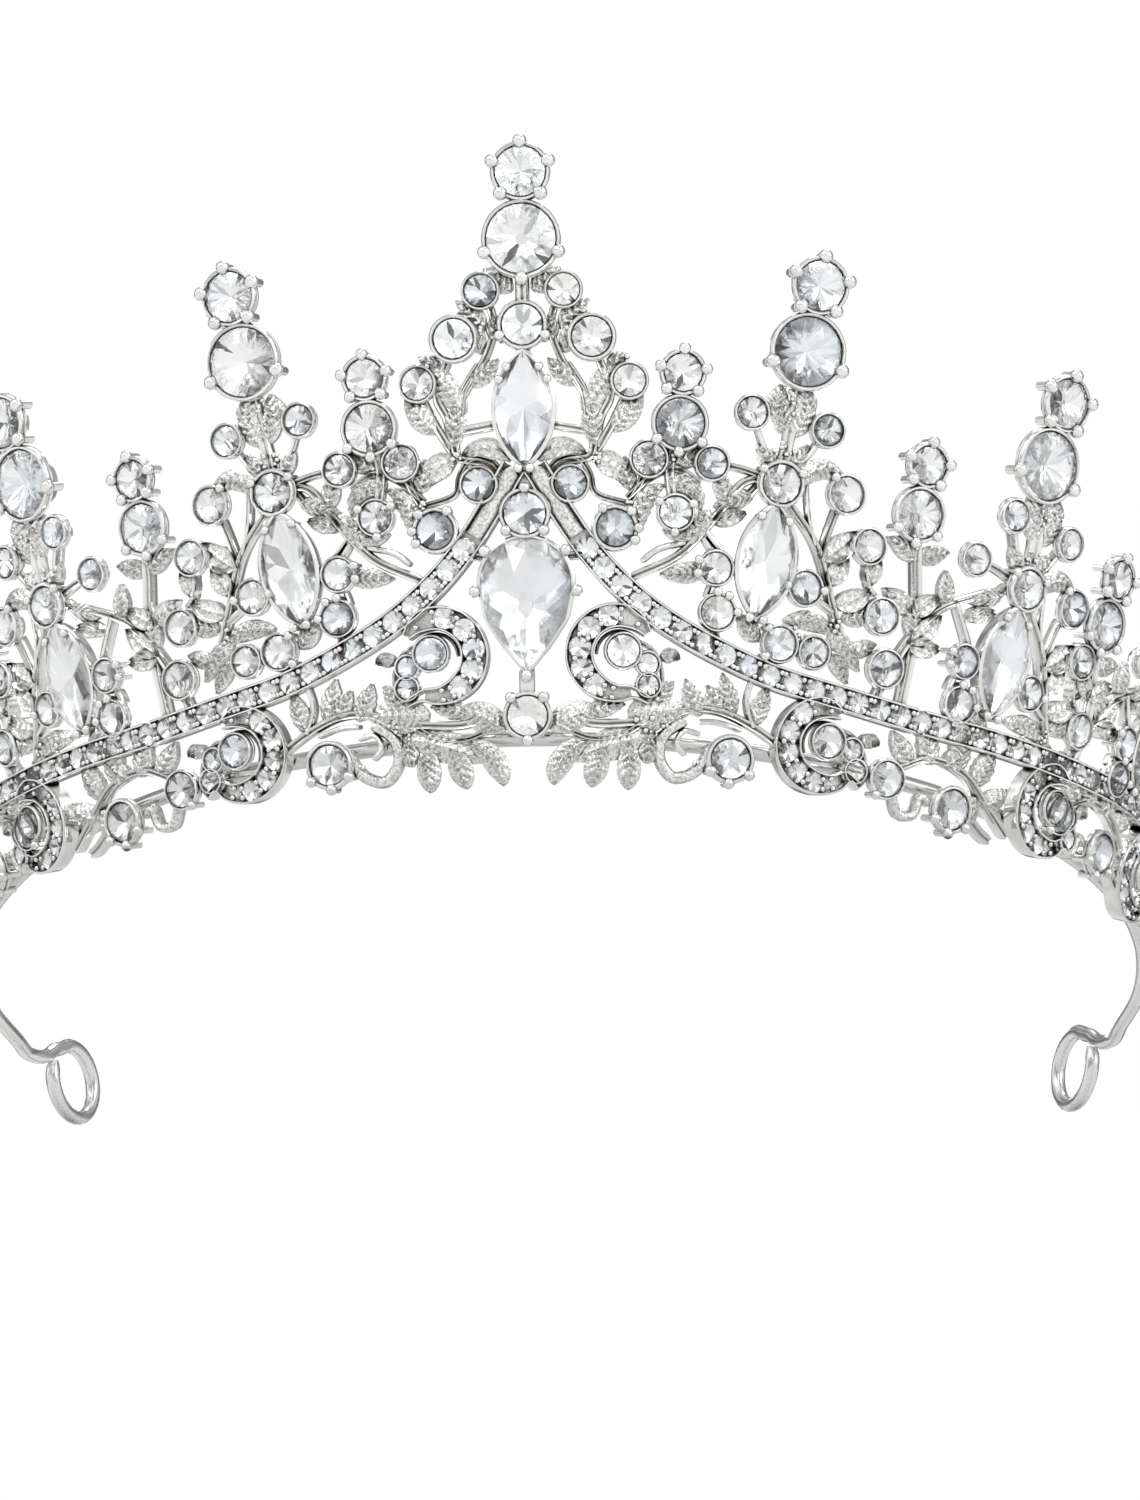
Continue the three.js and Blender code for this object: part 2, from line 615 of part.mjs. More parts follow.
// Half of the band's centreline: round the head, down into the loop, and round the loop.
function halfBand() {
  const points = [];
  const armEnd = LOOP_ANGLE - 14 / RING_RADIUS;
  const armSteps = 14;
  const radius = bandRadius(WIRE_HEIGHT);
  for (let i = 1; i <= armSteps; i += 1) {
    const angle = (armEnd * i) / armSteps;
    const z = THREE.MathUtils.lerp(WIRE_HEIGHT, ARM_HEIGHT, i / armSteps);
    points.push(new THREE.Vector3(radius * Math.sin(angle), -radius * Math.cos(angle), z));
  }
  const centreZ = LOOP_RADIUS + WIRE_RADIUS;
  const centre = new THREE.Vector3(radius * Math.sin(LOOP_ANGLE), -radius * Math.cos(LOOP_ANGLE), centreZ);
  const back = new THREE.Vector3(Math.cos(LOOP_ANGLE), Math.sin(LOOP_ANGLE), 0);
  const inLoop = (along, up) => centre.clone().addScaledVector(back, along).setZ(centreZ + up);
  points.push(inLoop(-9.5, 0.35), inLoop(-7.2, 0.7), inLoop(-5.5, 1.5), inLoop(-4.3, 2.5));
  const turns = 14;
  for (let i = 0; i <= turns; i += 1) {
    const angle = THREE.MathUtils.degToRad(132 - (312 * i) / turns);
    points.push(inLoop(LOOP_RADIUS * Math.cos(angle), LOOP_RADIUS * Math.sin(angle)));
  }
  return points;
}

function headband() {
  const half = halfBand();
  const mirrored = half.map((point) => new THREE.Vector3(-point.x, point.y, point.z)).reverse();
  const front = new THREE.Vector3(0, -bandRadius(WIRE_HEIGHT), WIRE_HEIGHT);
  const stations = [...mirrored, front, ...half];
  const section = new THREE.Shape();
  section.absarc(0, 0, WIRE_RADIUS, 0, 2 * Math.PI);
  return new THREE.ExtrudeGeometry(section, {
    steps: stations.length - 1,
    curveSegments: 3,
    extrudePath: new StationCurve(stations),
  });
}

addPanels();
addMesh("headband_wire", headband(), metal());

// The origin goes under the middle of the whole, on the surface that it stands on.
const extent = new THREE.Box3().setFromObject(tiara);
tiara.position.y = -(extent.min.y + extent.max.y) / 2;

export default tiara;
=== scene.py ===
"""Bridal tiara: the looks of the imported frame.

Lengths are millimetres until a mesh is made. The ornament lies on a cone that leans outwards, so a
place on it is (u, z): u is the arc along the cone's foot from the middle of the front, positive to
the wearer's left, and z the height above the surface that the tiara stands on.
"""
from math import asin, cos, dist, pi, radians, sin, sqrt, tan

import bmesh
import bpy
import numpy as np
from mathutils import Matrix, Vector


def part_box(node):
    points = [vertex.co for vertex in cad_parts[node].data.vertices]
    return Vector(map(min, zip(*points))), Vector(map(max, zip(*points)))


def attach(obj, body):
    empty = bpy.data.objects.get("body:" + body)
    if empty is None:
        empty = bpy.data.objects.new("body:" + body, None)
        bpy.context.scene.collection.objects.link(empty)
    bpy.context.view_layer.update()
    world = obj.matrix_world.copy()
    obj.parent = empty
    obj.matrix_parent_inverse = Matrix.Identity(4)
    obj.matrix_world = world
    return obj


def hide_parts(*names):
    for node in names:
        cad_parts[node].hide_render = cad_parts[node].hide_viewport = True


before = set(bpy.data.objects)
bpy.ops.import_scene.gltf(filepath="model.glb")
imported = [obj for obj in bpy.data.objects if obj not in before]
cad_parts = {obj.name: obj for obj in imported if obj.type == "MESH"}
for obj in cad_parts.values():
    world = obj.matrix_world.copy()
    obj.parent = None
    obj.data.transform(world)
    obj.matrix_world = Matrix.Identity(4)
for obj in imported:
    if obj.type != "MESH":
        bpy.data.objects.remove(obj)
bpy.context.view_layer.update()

MM = 0.001
RING_RADIUS = 65.7
FLARE = radians(22)
WIRE_RADIUS = 0.85
WIRE_HEIGHT = 5.9
ARM_HEIGHT = 5.3
LOOP_ANGLE = radians(116.5)
LOOP_RADIUS = 4.3
STONE_LIFT = 0.9
BACK = -1.05

SEED = 7

rng = np.random.default_rng(SEED)

# ---- the cone ----


def cone_radius(z):
    return RING_RADIUS + z * tan(FLARE)


BAND_RADIUS = cone_radius(WIRE_HEIGHT) - 2.2 / cos(FLARE)
RING_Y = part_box("headband_wire")[0].y / MM + BAND_RADIUS + WIRE_RADIUS


def cone_points(u, z, lift=0.0):
    """Points of the part's frame for arrays of u, z and lift."""
    u, z, lift = np.broadcast_arrays(*(np.asarray(a, float) for a in (u, z, lift)))
    angle = u / RING_RADIUS
    radius = RING_RADIUS + z * tan(FLARE) + lift * cos(FLARE)
    across, deep = radius * np.sin(angle), RING_Y - radius * np.cos(angle)
    return np.stack([across, deep, z - lift * sin(FLARE)], axis=-1)


def shifted(u, z, along, up):
    """The place reached from (u, z) by true lengths along the cone and up its slope."""
    height = z + up * cos(FLARE)
    return u + along * RING_RADIUS / (RING_RADIUS + height * tan(FLARE)), height


def cone_frame(u, z, lift=0.0, spin=0.0):
    """Rows: the axes along the cone, up its slope and out of it, then the origin."""
    angle = u / RING_RADIUS
    along = np.array([cos(angle), sin(angle), 0.0])
    out = cone_points(u, z, 1.0) - cone_points(u, z, 0.0)
    up = np.cross(out, along)
    c, s = cos(spin), sin(spin)
    return np.array([c * along + s * up, c * up - s * along, out, cone_points(u, z, lift)])


def in_frame(axes, points):
    return np.asarray(points, float) @ axes[:3] + axes[3]


# ---- meshes ----
BRIGHT, GRAINY, DARK = 0, 1, 2
GLASS, FOIL = 0, 1
# face attribute that holds each facet's painted shade, for the foil's colour
FACET_PAINTED_SHADE = "facet_painted_shade"
SHARP_ANGLE = radians(35)


class Work:
    """The faces of one piece, each with the index of its material."""

    def __init__(self):
        self.points = []
        self.faces = []
        self.looks = []
        # painted shade of each face, 1.0 where none is painted; the foil reads it
        self.painted_shades = []
        self.count = 0

    def add(self, points, faces, looks, painted_shades=None):
        start = self.count
        self.painted_shades += painted_shades or [1.0] * len(faces)
        self.points.append(np.asarray(points, float).reshape(-1, 3))
        self.faces += [tuple(start + i for i in face) for face in faces]
        self.looks += looks if isinstance(looks, list) else [looks] * len(faces)
        self.count += len(self.points[-1])

    def skin(self, rows, look, look_of=None):
        """A closed tube through rows of points, with a cap at each end."""
        n, m = rows.shape[:2]
        faces, looks = [], []
        for i in range(n - 1):
            for j in range(m):
                k = (j + 1) % m
                faces.append((i * m + j, i * m + k, (i + 1) * m + k, (i + 1) * m + j))
                looks.append(look_of(i, j) if look_of else look)
        faces += [tuple(range(m - 1, -1, -1)), tuple((n - 1) * m + j for j in range(m))]
        self.add(rows.reshape(-1, 3), faces, looks + [look, look])

    def lathe(self, axes, profile, sides, look, centre=(0.0, 0.0)):
        """A solid of revolution about the frame's third axis; the profile starts and ends on it."""
        turns = np.arange(sides) * 2 * pi / sides
        inner = profile[1:-1]
        rings = [
            np.stack([centre[0] + r * np.cos(turns), centre[1] + r * np.sin(turns), np.full(sides, h)], 1)
            for r, h in inner
        ]
        ends = np.array([(*centre, profile[0][1]), (*centre, profile[-1][1])])
        points = np.concatenate([*rings, ends])
        first, last = len(points) - 2, len(points) - 1
        faces = []
        for j in range(sides):
            k = (j + 1) % sides
            faces.append((first, k, j))
            for i in range(len(inner) - 1):
                faces.append((i * sides + j, i * sides + k, (i + 1) * sides + k, (i + 1) * sides + j))
            top = (len(inner) - 1) * sides
            faces.append((last, top + j, top + k))
        self.add(in_frame(axes, points), faces, look)


def make_piece(name, work, materials, replaced=(), faceted=False):
    """The object of one piece, riding on the frame's only body."""
    mesh = bpy.data.meshes.new(name)
    mesh.from_pydata((np.concatenate(work.points) * MM).tolist(), [], work.faces)
    for material in materials:
        mesh.materials.append(material)
    mesh.polygons.foreach_set("material_index", work.looks)
    if faceted:
        # store each face's painted shade for the foil's colour
        painted_shade_layer = mesh.attributes.new(FACET_PAINTED_SHADE, "FLOAT", "FACE")
        painted_shade_layer.data.foreach_set("value", np.asarray(work.painted_shades, np.float32))
    bm = bmesh.new()
    bm.from_mesh(mesh)
    bmesh.ops.recalc_face_normals(bm, faces=bm.faces)
    bm.to_mesh(mesh)
    bm.free()
    if not faceted:
        mesh.shade_smooth()
        mesh.set_sharp_from_angle(angle=SHARP_ANGLE)
    piece = bpy.data.objects.new(name, mesh)
    bpy.context.scene.collection.objects.link(piece)
    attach(piece, "root")
    if replaced:
        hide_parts(*replaced)


# ---- lines of the cast work ----
def smooth_route(route, step=0.35):
    """Close points on a centripetal Catmull-Rom curve through the route."""
    p = np.asarray(route, float)
    if len(p) == 2:
        count = max(3, int(np.linalg.norm(p[1] - p[0]) / step))
        return p[0] + (p[1] - p[0]) * np.linspace(0, 1, count)[:, None]
    p = np.vstack([2 * p[0] - p[1], p, 2 * p[-1] - p[-2]])
    found = []
    for i in range(1, len(p) - 2):
        a, b, c, d = p[i - 1 : i + 3]
        k = [0.0]
        for first, last in ((a, b), (b, c), (c, d)):
            k.append(k[-1] + max(np.linalg.norm(last - first), 1e-6) ** 0.5)
        count = max(2, int(np.linalg.norm(c - b) / step))
        t = np.linspace(k[1], k[2], count, endpoint=False)[:, None]

        def blend(low, high, start, end):
            span = k[end] - k[start]
            return (k[end] - t) / span * low + (t - k[start]) / span * high

        below = blend(blend(a, b, 0, 1), blend(b, c, 1, 2), 0, 2)
        above = blend(blend(b, c, 1, 2), blend(c, d, 2, 3), 1, 3)
        found.append(blend(below, above, 1, 2))
    found.append(p[-2][None])
    return np.vstack(found)


def true_steps(line):
    """Share of the length at each point, and the unit side vector in true lengths."""
    scale = (RING_RADIUS + line[:, 1] * tan(FLARE)) / RING_RADIUS
    slope = np.gradient(line, axis=0)
    along, up = slope[:, 0] * scale, slope[:, 1] / cos(FLARE)
    size = np.maximum(np.hypot(along, up), 1e-9)
    length = np.concatenate([[0], np.cumsum((size[1:] + size[:-1]) / 2)])
    return length, np.stack([-up / size, along / size], 1)


# sections of the lines: share of the half width, and height above the cone
ROUND = [
    (-1, -.4), (-.92, .05), (-.6, .33), (0, .45), (.6, .33), (.92, .05), (1, -.4), (.7, BACK), (-.7, BACK),
]
DOUBLE = [
    (-1, -.35), (-.95, .2), (-.7, .42), (-.4, .34), (0, .08), (.4, .34), (.7, .42), (.95, .2), (1, -.35),
    (.75, BACK), (-.75, BACK),
]
PLATE = [(-1, -.2), (-.85, 0), (.85, 0), (1, -.2), (.9, BACK), (-.9, BACK)]
RAIL = [(-1, 0), (-.85, .3), (-.4, .46), (.4, .46), (.85, .3), (1, 0), (.9, BACK), (-.9, BACK)]
RAIL_WIDTH, RAIL_LIFT = 0.34, 0.46


def sweep(work, route, width, profile, look, lift=0.0, ends=(0.8, 0.8)):
    """A line of the given profile; width is a number or a function of the share of the length."""
    line = smooth_route(route)
    length, side = true_steps(line)
    t = length / length[-1]
    half = np.array([width(x) for x in t]) / 2 if callable(width) else np.full(len(t), width / 2)
    near = np.minimum(1, np.minimum(ends[0] + t * 8, ends[1] + (1 - t) * 8))
    rows = []
    for s, h in profile:
        u, z = shifted(line[:, 0], line[:, 1], side[:, 0] * s * half * near, side[:, 1] * s * half * near)
        rows.append(cone_points(u, z, lift + np.where(h > BACK, h, BACK - lift)))
    work.skin(np.stack(rows, 1), look)


LEAF_FULLNESS, LEAF_RISE = 1.28, 0.35
CLAW_SIDES = 14
# radius and height above the cone of the cast grains, loose and in rows
LOOSE_GRAIN, ROW_GRAIN = (0.26, 0.2), (0.34, 0.55)


def leaf(work, foot, angle, length, width, bend=0.0, kind="veined", lift=0.0):
    """A cast leaf; t is the share of its length and s the share across, from -1 to 1."""
    width *= LEAF_FULLNESS
    n, m = 26, 13
    t = np.linspace(0, 1, n)
    heading = np.radians(angle) + np.radians(bend) * t
    step = length / (n - 1)
    x = np.concatenate([[0], np.cumsum(np.cos(heading[:-1]) * step)])
    y = np.concatenate([[0], np.cumsum(np.sin(heading[:-1]) * step)])
    belly, fullness = (1.35, 0.6) if kind == "lobe" else (0.8, 0.75)
    half = width / 2 * np.sin(pi * t**belly) ** fullness
    half = np.maximum(half, 0.3 * (1 - t) if kind == "lobe" else 0.14 + 0.1 * (1 - t))
    if kind == "toothed":
        half *= 1 + 0.22 * ((t * 5) % 1 - 0.5) * np.sin(pi * t)
    s = np.linspace(-1, 1, m)
    grid_t, grid_s = np.meshgrid(t, s, indexing="ij")
    reach = half[:, None] / (width / 2)
    body = np.sin(pi * np.clip(grid_t, 0.02, 0.98)) ** 0.5
    if kind == "dished":
        hatch = np.abs(((grid_t * length * 1.1 - np.abs(grid_s) * 0.9) % 1) - 0.5) * 2
        height = 0.55 * np.abs(grid_s) ** 6 + 0.3 * np.exp(-((grid_s / 0.18) ** 2)) * body
        height += 0.26 * hatch * body * (1 - grid_s**2)
    else:
        veins = np.abs(((grid_t * length * 1.25 - np.abs(grid_s) * 1.4) % 1) - 0.5) * 2
        height = 0.42 * (1 - grid_s**2) * reach + 0.42 * (veins - 0.5) * body * (1 - np.abs(grid_s) ** 4)
        height += 0.2 * np.exp(-((grid_s / 0.16) ** 2)) * body
    height = height + LEAF_RISE * grid_t * (1 - grid_t) * 2 + lift
    side_x, side_y = -np.sin(heading)[:, None], np.cos(heading)[:, None]
    across = np.concatenate([s, [0.9, -0.9]])
    height = np.concatenate([height, np.full((n, 2), max(BACK, lift - 0.75))], 1)
    along, up = x[:, None] + side_x * across * half[:, None], y[:, None] + side_y * across * half[:, None]
    rows = cone_points(*shifted(*foot, along, up), height)
    edge = (lambda i, j: GRAINY if 1 <= j < m - 2 else BRIGHT) if kind == "dished" else None
    work.skin(rows, GRAINY, edge)


def dome(radius, height, turns=range(-45, 91, 15)):
    """Profile points over a bead with its middle at the height."""
    turns = [radians(a) for a in turns]
    return [(radius * cos(a), height + radius * sin(a)) for a in turns]


def ball(work, axes, radius):
    work.lathe(axes, dome(radius, 0, np.linspace(-90, 90, 9)), 8, BRIGHT)


def claw(work, place, angle, distance, radius, height=0.2):
    """A post that rises from the back of a cup and ends in a bead over the stone's edge."""
    turn = radians(angle)
    foot, post = BACK - STONE_LIFT + 0.1, radius * 0.62
    profile = [(0, foot), (post, foot), (post, height - 0.4), *dome(radius, height)]
    spot = (distance * cos(turn), distance * sin(turn))
    work.lathe(cone_frame(*place, STONE_LIFT), profile, CLAW_SIDES, BRIGHT, spot)


def grains(work, place, count, spread):
    """A loose cluster of cast grains."""
    radius, lift = LOOSE_GRAIN
    for _ in range(count):
        r, turn = spread * sqrt(rng.random()), rng.random() * 2 * pi
        spot = shifted(*place, r * cos(turn), r * sin(turn))
        axes = cone_frame(*spot, lift + rng.random() * 0.3)
        ball(work, axes, radius * (0.7 + 0.6 * rng.random()))


# ---- stones and their cups ----
# painted shade on the foiled backs, standing in for reflected light: most facets stay light as if they threw
# the light back; a few are painted dark as if turned away from it
PAINTED_FACET_SHADES = (1.0, 0.86, 0.6, 0.12)
FACET_SHARES = (0.64, 0.2, 0.11, 0.05)


def cut_stone(work, axes, outline, crown, pavilion, table=0.54, shoulder=0.8, lower=0.42, contrast=1.0):
    """A brilliant on any outline of 2n points: table, stars, kites, girdle facets and a foiled back with a
    painted shade on each back facet.
    """
    ring = np.asarray(outline, float)
    n = len(ring) // 2
    girdle = 0.12

    def level(scale, height, which=slice(None)):
        part = ring[which] * scale
        return np.column_stack([part, np.full(len(part), height)])

    points = np.concatenate([
        level(table, crown, slice(1, None, 2)),
        level(shoulder, girdle + (crown - girdle) * 0.58, slice(0, None, 2)),
        level(1, girdle),
        level(1, -girdle),
        level(lower, -girdle - (pavilion - girdle) * (1 - lower) * 1.06, slice(1, None, 2)),
        [[0, 0, -pavilion]],
    ])
    flat, star, top, low, belly = 0, n, 2 * n, 4 * n, 6 * n
    culet = 7 * n
    faces, looks, painted_shades = [tuple(flat + i for i in range(n))], [GLASS], [1.0]
    for i in range(n):
        before, after = (i - 1) % n, (i + 1) % n
        even, odd, left = 2 * i, 2 * i + 1, (2 * i - 1) % (2 * n)
        nearby = (2 * i + 2) % (2 * n)
        crown_faces = [
            (flat + before, star + i, flat + i),
            (flat + i, star + i, top + odd, star + after),
            (star + i, top + left, top + even),
            (star + i, top + even, top + odd),
            (top + left, low + left, low + even, top + even),
            (top + even, low + even, low + odd, top + odd),
        ]
        back_faces = [
            (low + even, belly + i, low + odd),
            (low + odd, belly + i, low + nearby),
            (culet, belly + i, low + even, belly + before),
        ]
        faces += crown_faces + back_faces
        looks += [GLASS] * len(crown_faces) + [FOIL] * len(back_faces)
        painted_shades += [1.0] * len(crown_faces)
        # each back facet's painted shade, made milder by contrast
        for tone in rng.choice(PAINTED_FACET_SHADES, len(back_faces), p=FACET_SHARES):
            painted_shades.append(1 - contrast * (1 - float(tone)))
    work.add(in_frame(axes, points), faces, looks, painted_shades)


def circle(diameter, count):
    turns = np.arange(count) * 2 * pi / count
    return np.stack([np.cos(turns), np.sin(turns)], 1) * diameter / 2


def round_stone(work, place, diameter, lift=STONE_LIFT):
    facets = 12 if diameter > 4.6 else 8
    axes = cone_frame(*place, lift, rng.random() * 2 * pi)
    cut_stone(work, axes, circle(diameter, 2 * facets), 0.165 * diameter, 0.23 * diameter)


def round_cup(work, place, diameter, beads=(), lift=STONE_LIFT, bead=0.72, wall=0.56):
    """The turned cup of a round stone: a double rim, and beads on posts around it."""
    r = diameter / 2
    axes = cone_frame(*place, lift)
    back = BACK - lift
    deep = min(-0.34 * diameter - 0.5, back)
    profile = [
        (0, deep), (r * 0.72, deep), (r + wall * 0.35, back * 0.55), (r + wall * 0.95, -0.75),
        (r + wall, -0.5), (r + wall * 0.66, -0.38), (r + wall * 0.96, -0.2), (r + wall * 0.92, 0.08),
        (r + wall * 0.7, 0.24), (r + wall * 0.4, 0.26), (r + wall * 0.22, 0.14), (r + wall * 0.2, -0.2),
        (r * 0.5, -0.26 * diameter - 0.1), (0, -0.34 * diameter - 0.08),
    ]
    work.lathe(axes, profile, 40 if diameter > 3 else 20, BRIGHT)
    for angle in beads:
        claw(work, place, angle, r + wall * 0.9, bead)


def small_cup(work, place, diameter, lift, beads):
    """The cup of a berry, which is a small stone on a stem."""
    wall = 0.4
    round_cup(work, place, diameter, (), lift, wall=wall)
    for angle in beads:
        claw(work, place, angle, diameter / 2 + wall, 0.5, 0.05)


def marquise_outline(length, width, count, grow):
    bulge = (length**2 - width**2) / (4 * width)
    radius = bulge + width / 2 + grow
    tip = asin((length / 2 + grow) / radius)
    half = count // 2
    points = []
    for side in (1, -1):
        for i in range(half):
            a = side * (tip * 2 * i / half - tip)
            points.append((side * (radius * cos(a) - bulge), radius * sin(a)))
    return np.array(points)


def pear_outline(length, width, count, grow):
    """Starts at the lower point and goes round anticlockwise."""
    radius = width / 2 + grow
    centre = (length - width) / 2
    point = -length / 2 - grow
    dense = [(0.0, point), (radius * 0.5, point * 0.58), (radius * 0.86, point * 0.2)]
    for a in range(-5, 181, 12):
        dense.append((radius * cos(radians(a)), centre + radius * sin(radians(a))))
    dense += [(-radius * 0.86, point * 0.2), (-radius * 0.5, point * 0.58), (0.0, point)]
    p = np.array(dense)
    size = np.concatenate([[0], np.cumsum(np.linalg.norm(np.diff(p, axis=0), axis=1))])
    at = np.linspace(0, size[-1], count, endpoint=False)
    return np.stack([np.interp(at, size, p[:, 0]), np.interp(at, size, p[:, 1])], 1)


def long_cup(work, axes, outline_of, depth):
    """A close wall that follows a long stone's outline, with a rolled rim."""
    def level(grow, height):
        ring = outline_of(grow)
        return in_frame(axes, np.column_stack([ring, np.full(len(ring), height)]))

    rows = [level(0.05, -depth), level(0.3, -0.9), level(0.42, -0.3), level(0.38, 0.02), level(0.18, 0.16),
            level(-0.04, 0.13), level(0.04, -0.14), level(-1.2, 0.3 - depth)]
    work.skin(np.stack(rows), BRIGHT)


# ---- the design ----
SPIRE_STONE, SPIRE_TOP, NECK_STONE, BASE_STONE = 7.2, 5.2, 4.0, 4.1
SPIRELET_STONE, SPIRELET_TOP = 5.0, 3.9
PAVE = 2.35
PAVE_PITCH = 2.6
RIBBON_WIDTH = 2.7
PANEL_JOINT, JOINT_GAP = 40.3, 0.12
MARQUISE = (12, 6)
PEAR = (14, 9.6)

RIBBON = [
    (0.9, 31), (3.1, 27), (5.6, 23.2), (8.7, 19.8), (12.3, 17), (16.7, 14.7), (23.4, 12.4), (30.5, 11.4),
    (40.2, 10.8), (50, 11.1), (60, 11.6), (72, 12.2), (82, 11.6), (89, 9.4),
]
# place of the big stone, foot of the spire (its marquise), lean of the marquise, size
SPIRES = [
    ((23.5, 43.8), (21.9, 23.2), 5, 1.0),
    ((47.8, 38.8), (48.2, 18.9), 2, 1.0),
    ((71.8, 33.0), (71.8, 18.0), 0, 0.85),
]
SPIRELETS = [
    ((13.2, 35.6), True, [(12.6, 31.4), (13.3, 27)]),
    ((35.8, 30.4), True, [(36.7, 26), (37.8, 20), (37.9, 11)]),
    ((59.5, 26.4), True, [(60.4, 22), (61.5, 17), (61.3, 11.6)]),
    ((83, 20.6), False, [(83.4, 16), (83.4, 11.4)]),
]
# centre of each scroll and how far its crescent is turned
SCROLLS = [((8.8, 13.2), 0), ((30.2, 6.6), 28), ((59.6, 7.1), 30), ((79.6, 7.0), 28)]
BASE_STONES = [(20.4, 3.9), (46, 3.4), (69.4, 5.8)]
COLLET_HEIGHT, MARQUISE_POINT, CENTRE_NECK, COLLET_STONE = 26.5, 31.0, 4.2, 4.3


def centre_heights():
    """Heights of the stones down the middle, from their sizes and the gaps between them."""
    slope = cos(FLARE)
    marquise = MARQUISE_POINT + MARQUISE[0] / 2 * slope
    neck = marquise + ((MARQUISE[0] + CENTRE_NECK) / 2 + 0.6) * slope
    pear = COLLET_HEIGHT - ((COLLET_STONE + PEAR[0]) / 2 + 0.3) * slope
    return {
        "marquise": marquise,
        "neck": neck,
        "spire": neck + ((CENTRE_NECK + SPIRE_STONE) / 2 + 3.2) * slope,
        "collet": COLLET_HEIGHT,
        "pear": pear,
        "base": pear - ((PEAR[0] + BASE_STONE) / 2 + 2.4) * slope,
    }


CENTRE = centre_heights()
casts, chips = ({name: Work() for name in ("centre", "left", "right")} for _ in range(2))
stones = {}


def on_ribbon(u):
    return u, float(np.interp(u, *zip(*RIBBON)))


def stack_rise(below, above):
    return (below + above) / 2 + 0.8


class Side:
    """Draws on one side of the front: sign is +1 for the wearer's left and -1 for the right.

    reach turns the places of leaves, berries, twigs, grains and lines into places on the cone.
    """

    def __init__(self, sign, reach=lambda along, up: (along, up)):
        self.sign, self.reach = sign, reach
        self.name = "left" if sign > 0 else "right"

    def at(self, place):
        return (place[0] * self.sign, *place[1:])

    def turn(self, angle):
        return angle if self.sign > 0 else 180 - angle

    def zone(self, u):
        return "centre" if abs(u) < PANEL_JOINT else self.name

    def cast(self, u):
        return casts[self.zone(u)]

    def line(self, route, width=0.95, profile=DOUBLE, look=BRIGHT, **more):
        route = [self.reach(*place) for place in route]
        middle = route[len(route) // 2][0]
        sweep(self.cast(middle), [self.at(p) for p in route], width, profile, look, **more)

    def leaf(self, foot, angle, length, width, bend=0.0, *more):
        foot = self.reach(*foot)
        leaf(self.cast(foot[0]), self.at(foot), self.turn(angle), length, width, bend * self.sign, *more)

    def leaves(self, *rows):
        """Rows: place, angle, length, width, and where they aren't plain the bend, kind and lift."""
        for along, up, *shape in rows:
            self.leaf((along, up), *shape)

    def berry(self, place, diameter=3.1, beads=(), lift=0.75):
        place = self.reach(*place)
        work = self.cast(place[0])
        small_cup(work, self.at(place), diameter, lift, [self.turn(a) for a in beads])
        round_stone(chips[self.zone(place[0])], self.at(place), diameter, lift)

    def twig(self, route, diameter, **more):
        self.berry(route[0], diameter, **more)
        self.line(route, 0.8)

    def grains(self, place, count, spread):
        place = self.reach(*place)
        grains(self.cast(place[0]), self.at(place), count, spread)

    def row_grain(self, place):
        radius, lift = ROW_GRAIN
        ball(self.cast(place[0]), cone_frame(*self.at(place), lift), radius)

    def set_round(self, name, place, diameter, beads=(), **more):
        round_cup(self.cast(place[0]), self.at(place), diameter, [self.turn(a) for a in beads], **more)
        stones[name] = Work()
        round_stone(stones[name], self.at(place), diameter)


def pave(side, place, lift):
    """A very small stone pressed between rails."""
    work = side.cast(place[0])
    axes = cone_frame(*side.at(place), lift)
    r = PAVE / 2
    rim = [(0, -1.0), (r + 0.1, -1.0), (r + 0.13, -0.04), (r + 0.06, 0.02), (r + 0.02, -0.1), (0, -0.86)]
    work.lathe(axes, rim, 16, BRIGHT)
    axes = cone_frame(*side.at(place), lift, rng.random() * 6)
    cut_stone(chips[side.zone(place[0])], axes, circle(PAVE, 16), 0.2 * PAVE, 0.22 * PAVE, 0.5)


def rail(side, route, **more):
    """A smooth bright edge that stands above the floor of a ribbon or crescent."""
    side.line(route, RAIL_WIDTH, RAIL, lift=RAIL_LIFT, **more)


def offset_route(route, distance):
    line = smooth_route(route)
    _, side = true_steps(line)
    u, z = shifted(line[:, 0], line[:, 1], side[:, 0] * distance, side[:, 1] * distance)
    return list(zip(u, z))[::3]


def ribbon(side):
    """Two rails, a sunk floor, and a row of small stones with grains between them."""
    half = RIBBON_WIDTH / 2
    line = smooth_route(RIBBON, 0.2)
    u = line[:, 0]
    for first, last in ((0, PANEL_JOINT - JOINT_GAP), (PANEL_JOINT + JOINT_GAP, 100)):
        part = [tuple(p) for p in line[(u >= first) & (u <= last)]]
        side.line(part, RIBBON_WIDTH, PLATE, DARK, lift=-0.32, ends=(1, 1))
        for distance in (half - RAIL_WIDTH / 2, RAIL_WIDTH / 2 - half):
            rail(side, offset_route(part[::2], distance), ends=(1, 1))
    length, normal = true_steps(line)
    start = np.interp(5.6, u, length)
    count = int((length[-1] - start - 1.2) / PAVE_PITCH)
    for i in range(count + 1):
        at = start + i * PAVE_PITCH
        pave(side, (np.interp(at, length, line[:, 0]), np.interp(at, length, line[:, 1])), 0.42)
        for across in (-0.72, 0.72):
            for along in (-0.24, 0.24):
                where = at + PAVE_PITCH / 2 + along
                if where > length[-1] - 0.5:
                    continue
                k = min(int(np.searchsorted(length, where)), len(line) - 1)
                spot = shifted(line[k, 0], line[k, 1], normal[k, 0] * across, normal[k, 1] * across)
                side.row_grain(spot)
    # the plain textured stretch above the first small stone
    head = [tuple(p) for p in line[u < 4.9]]
    side.line(head[::3], 2.0, ROUND, GRAINY, lift=0.1, ends=(0.5, 1))


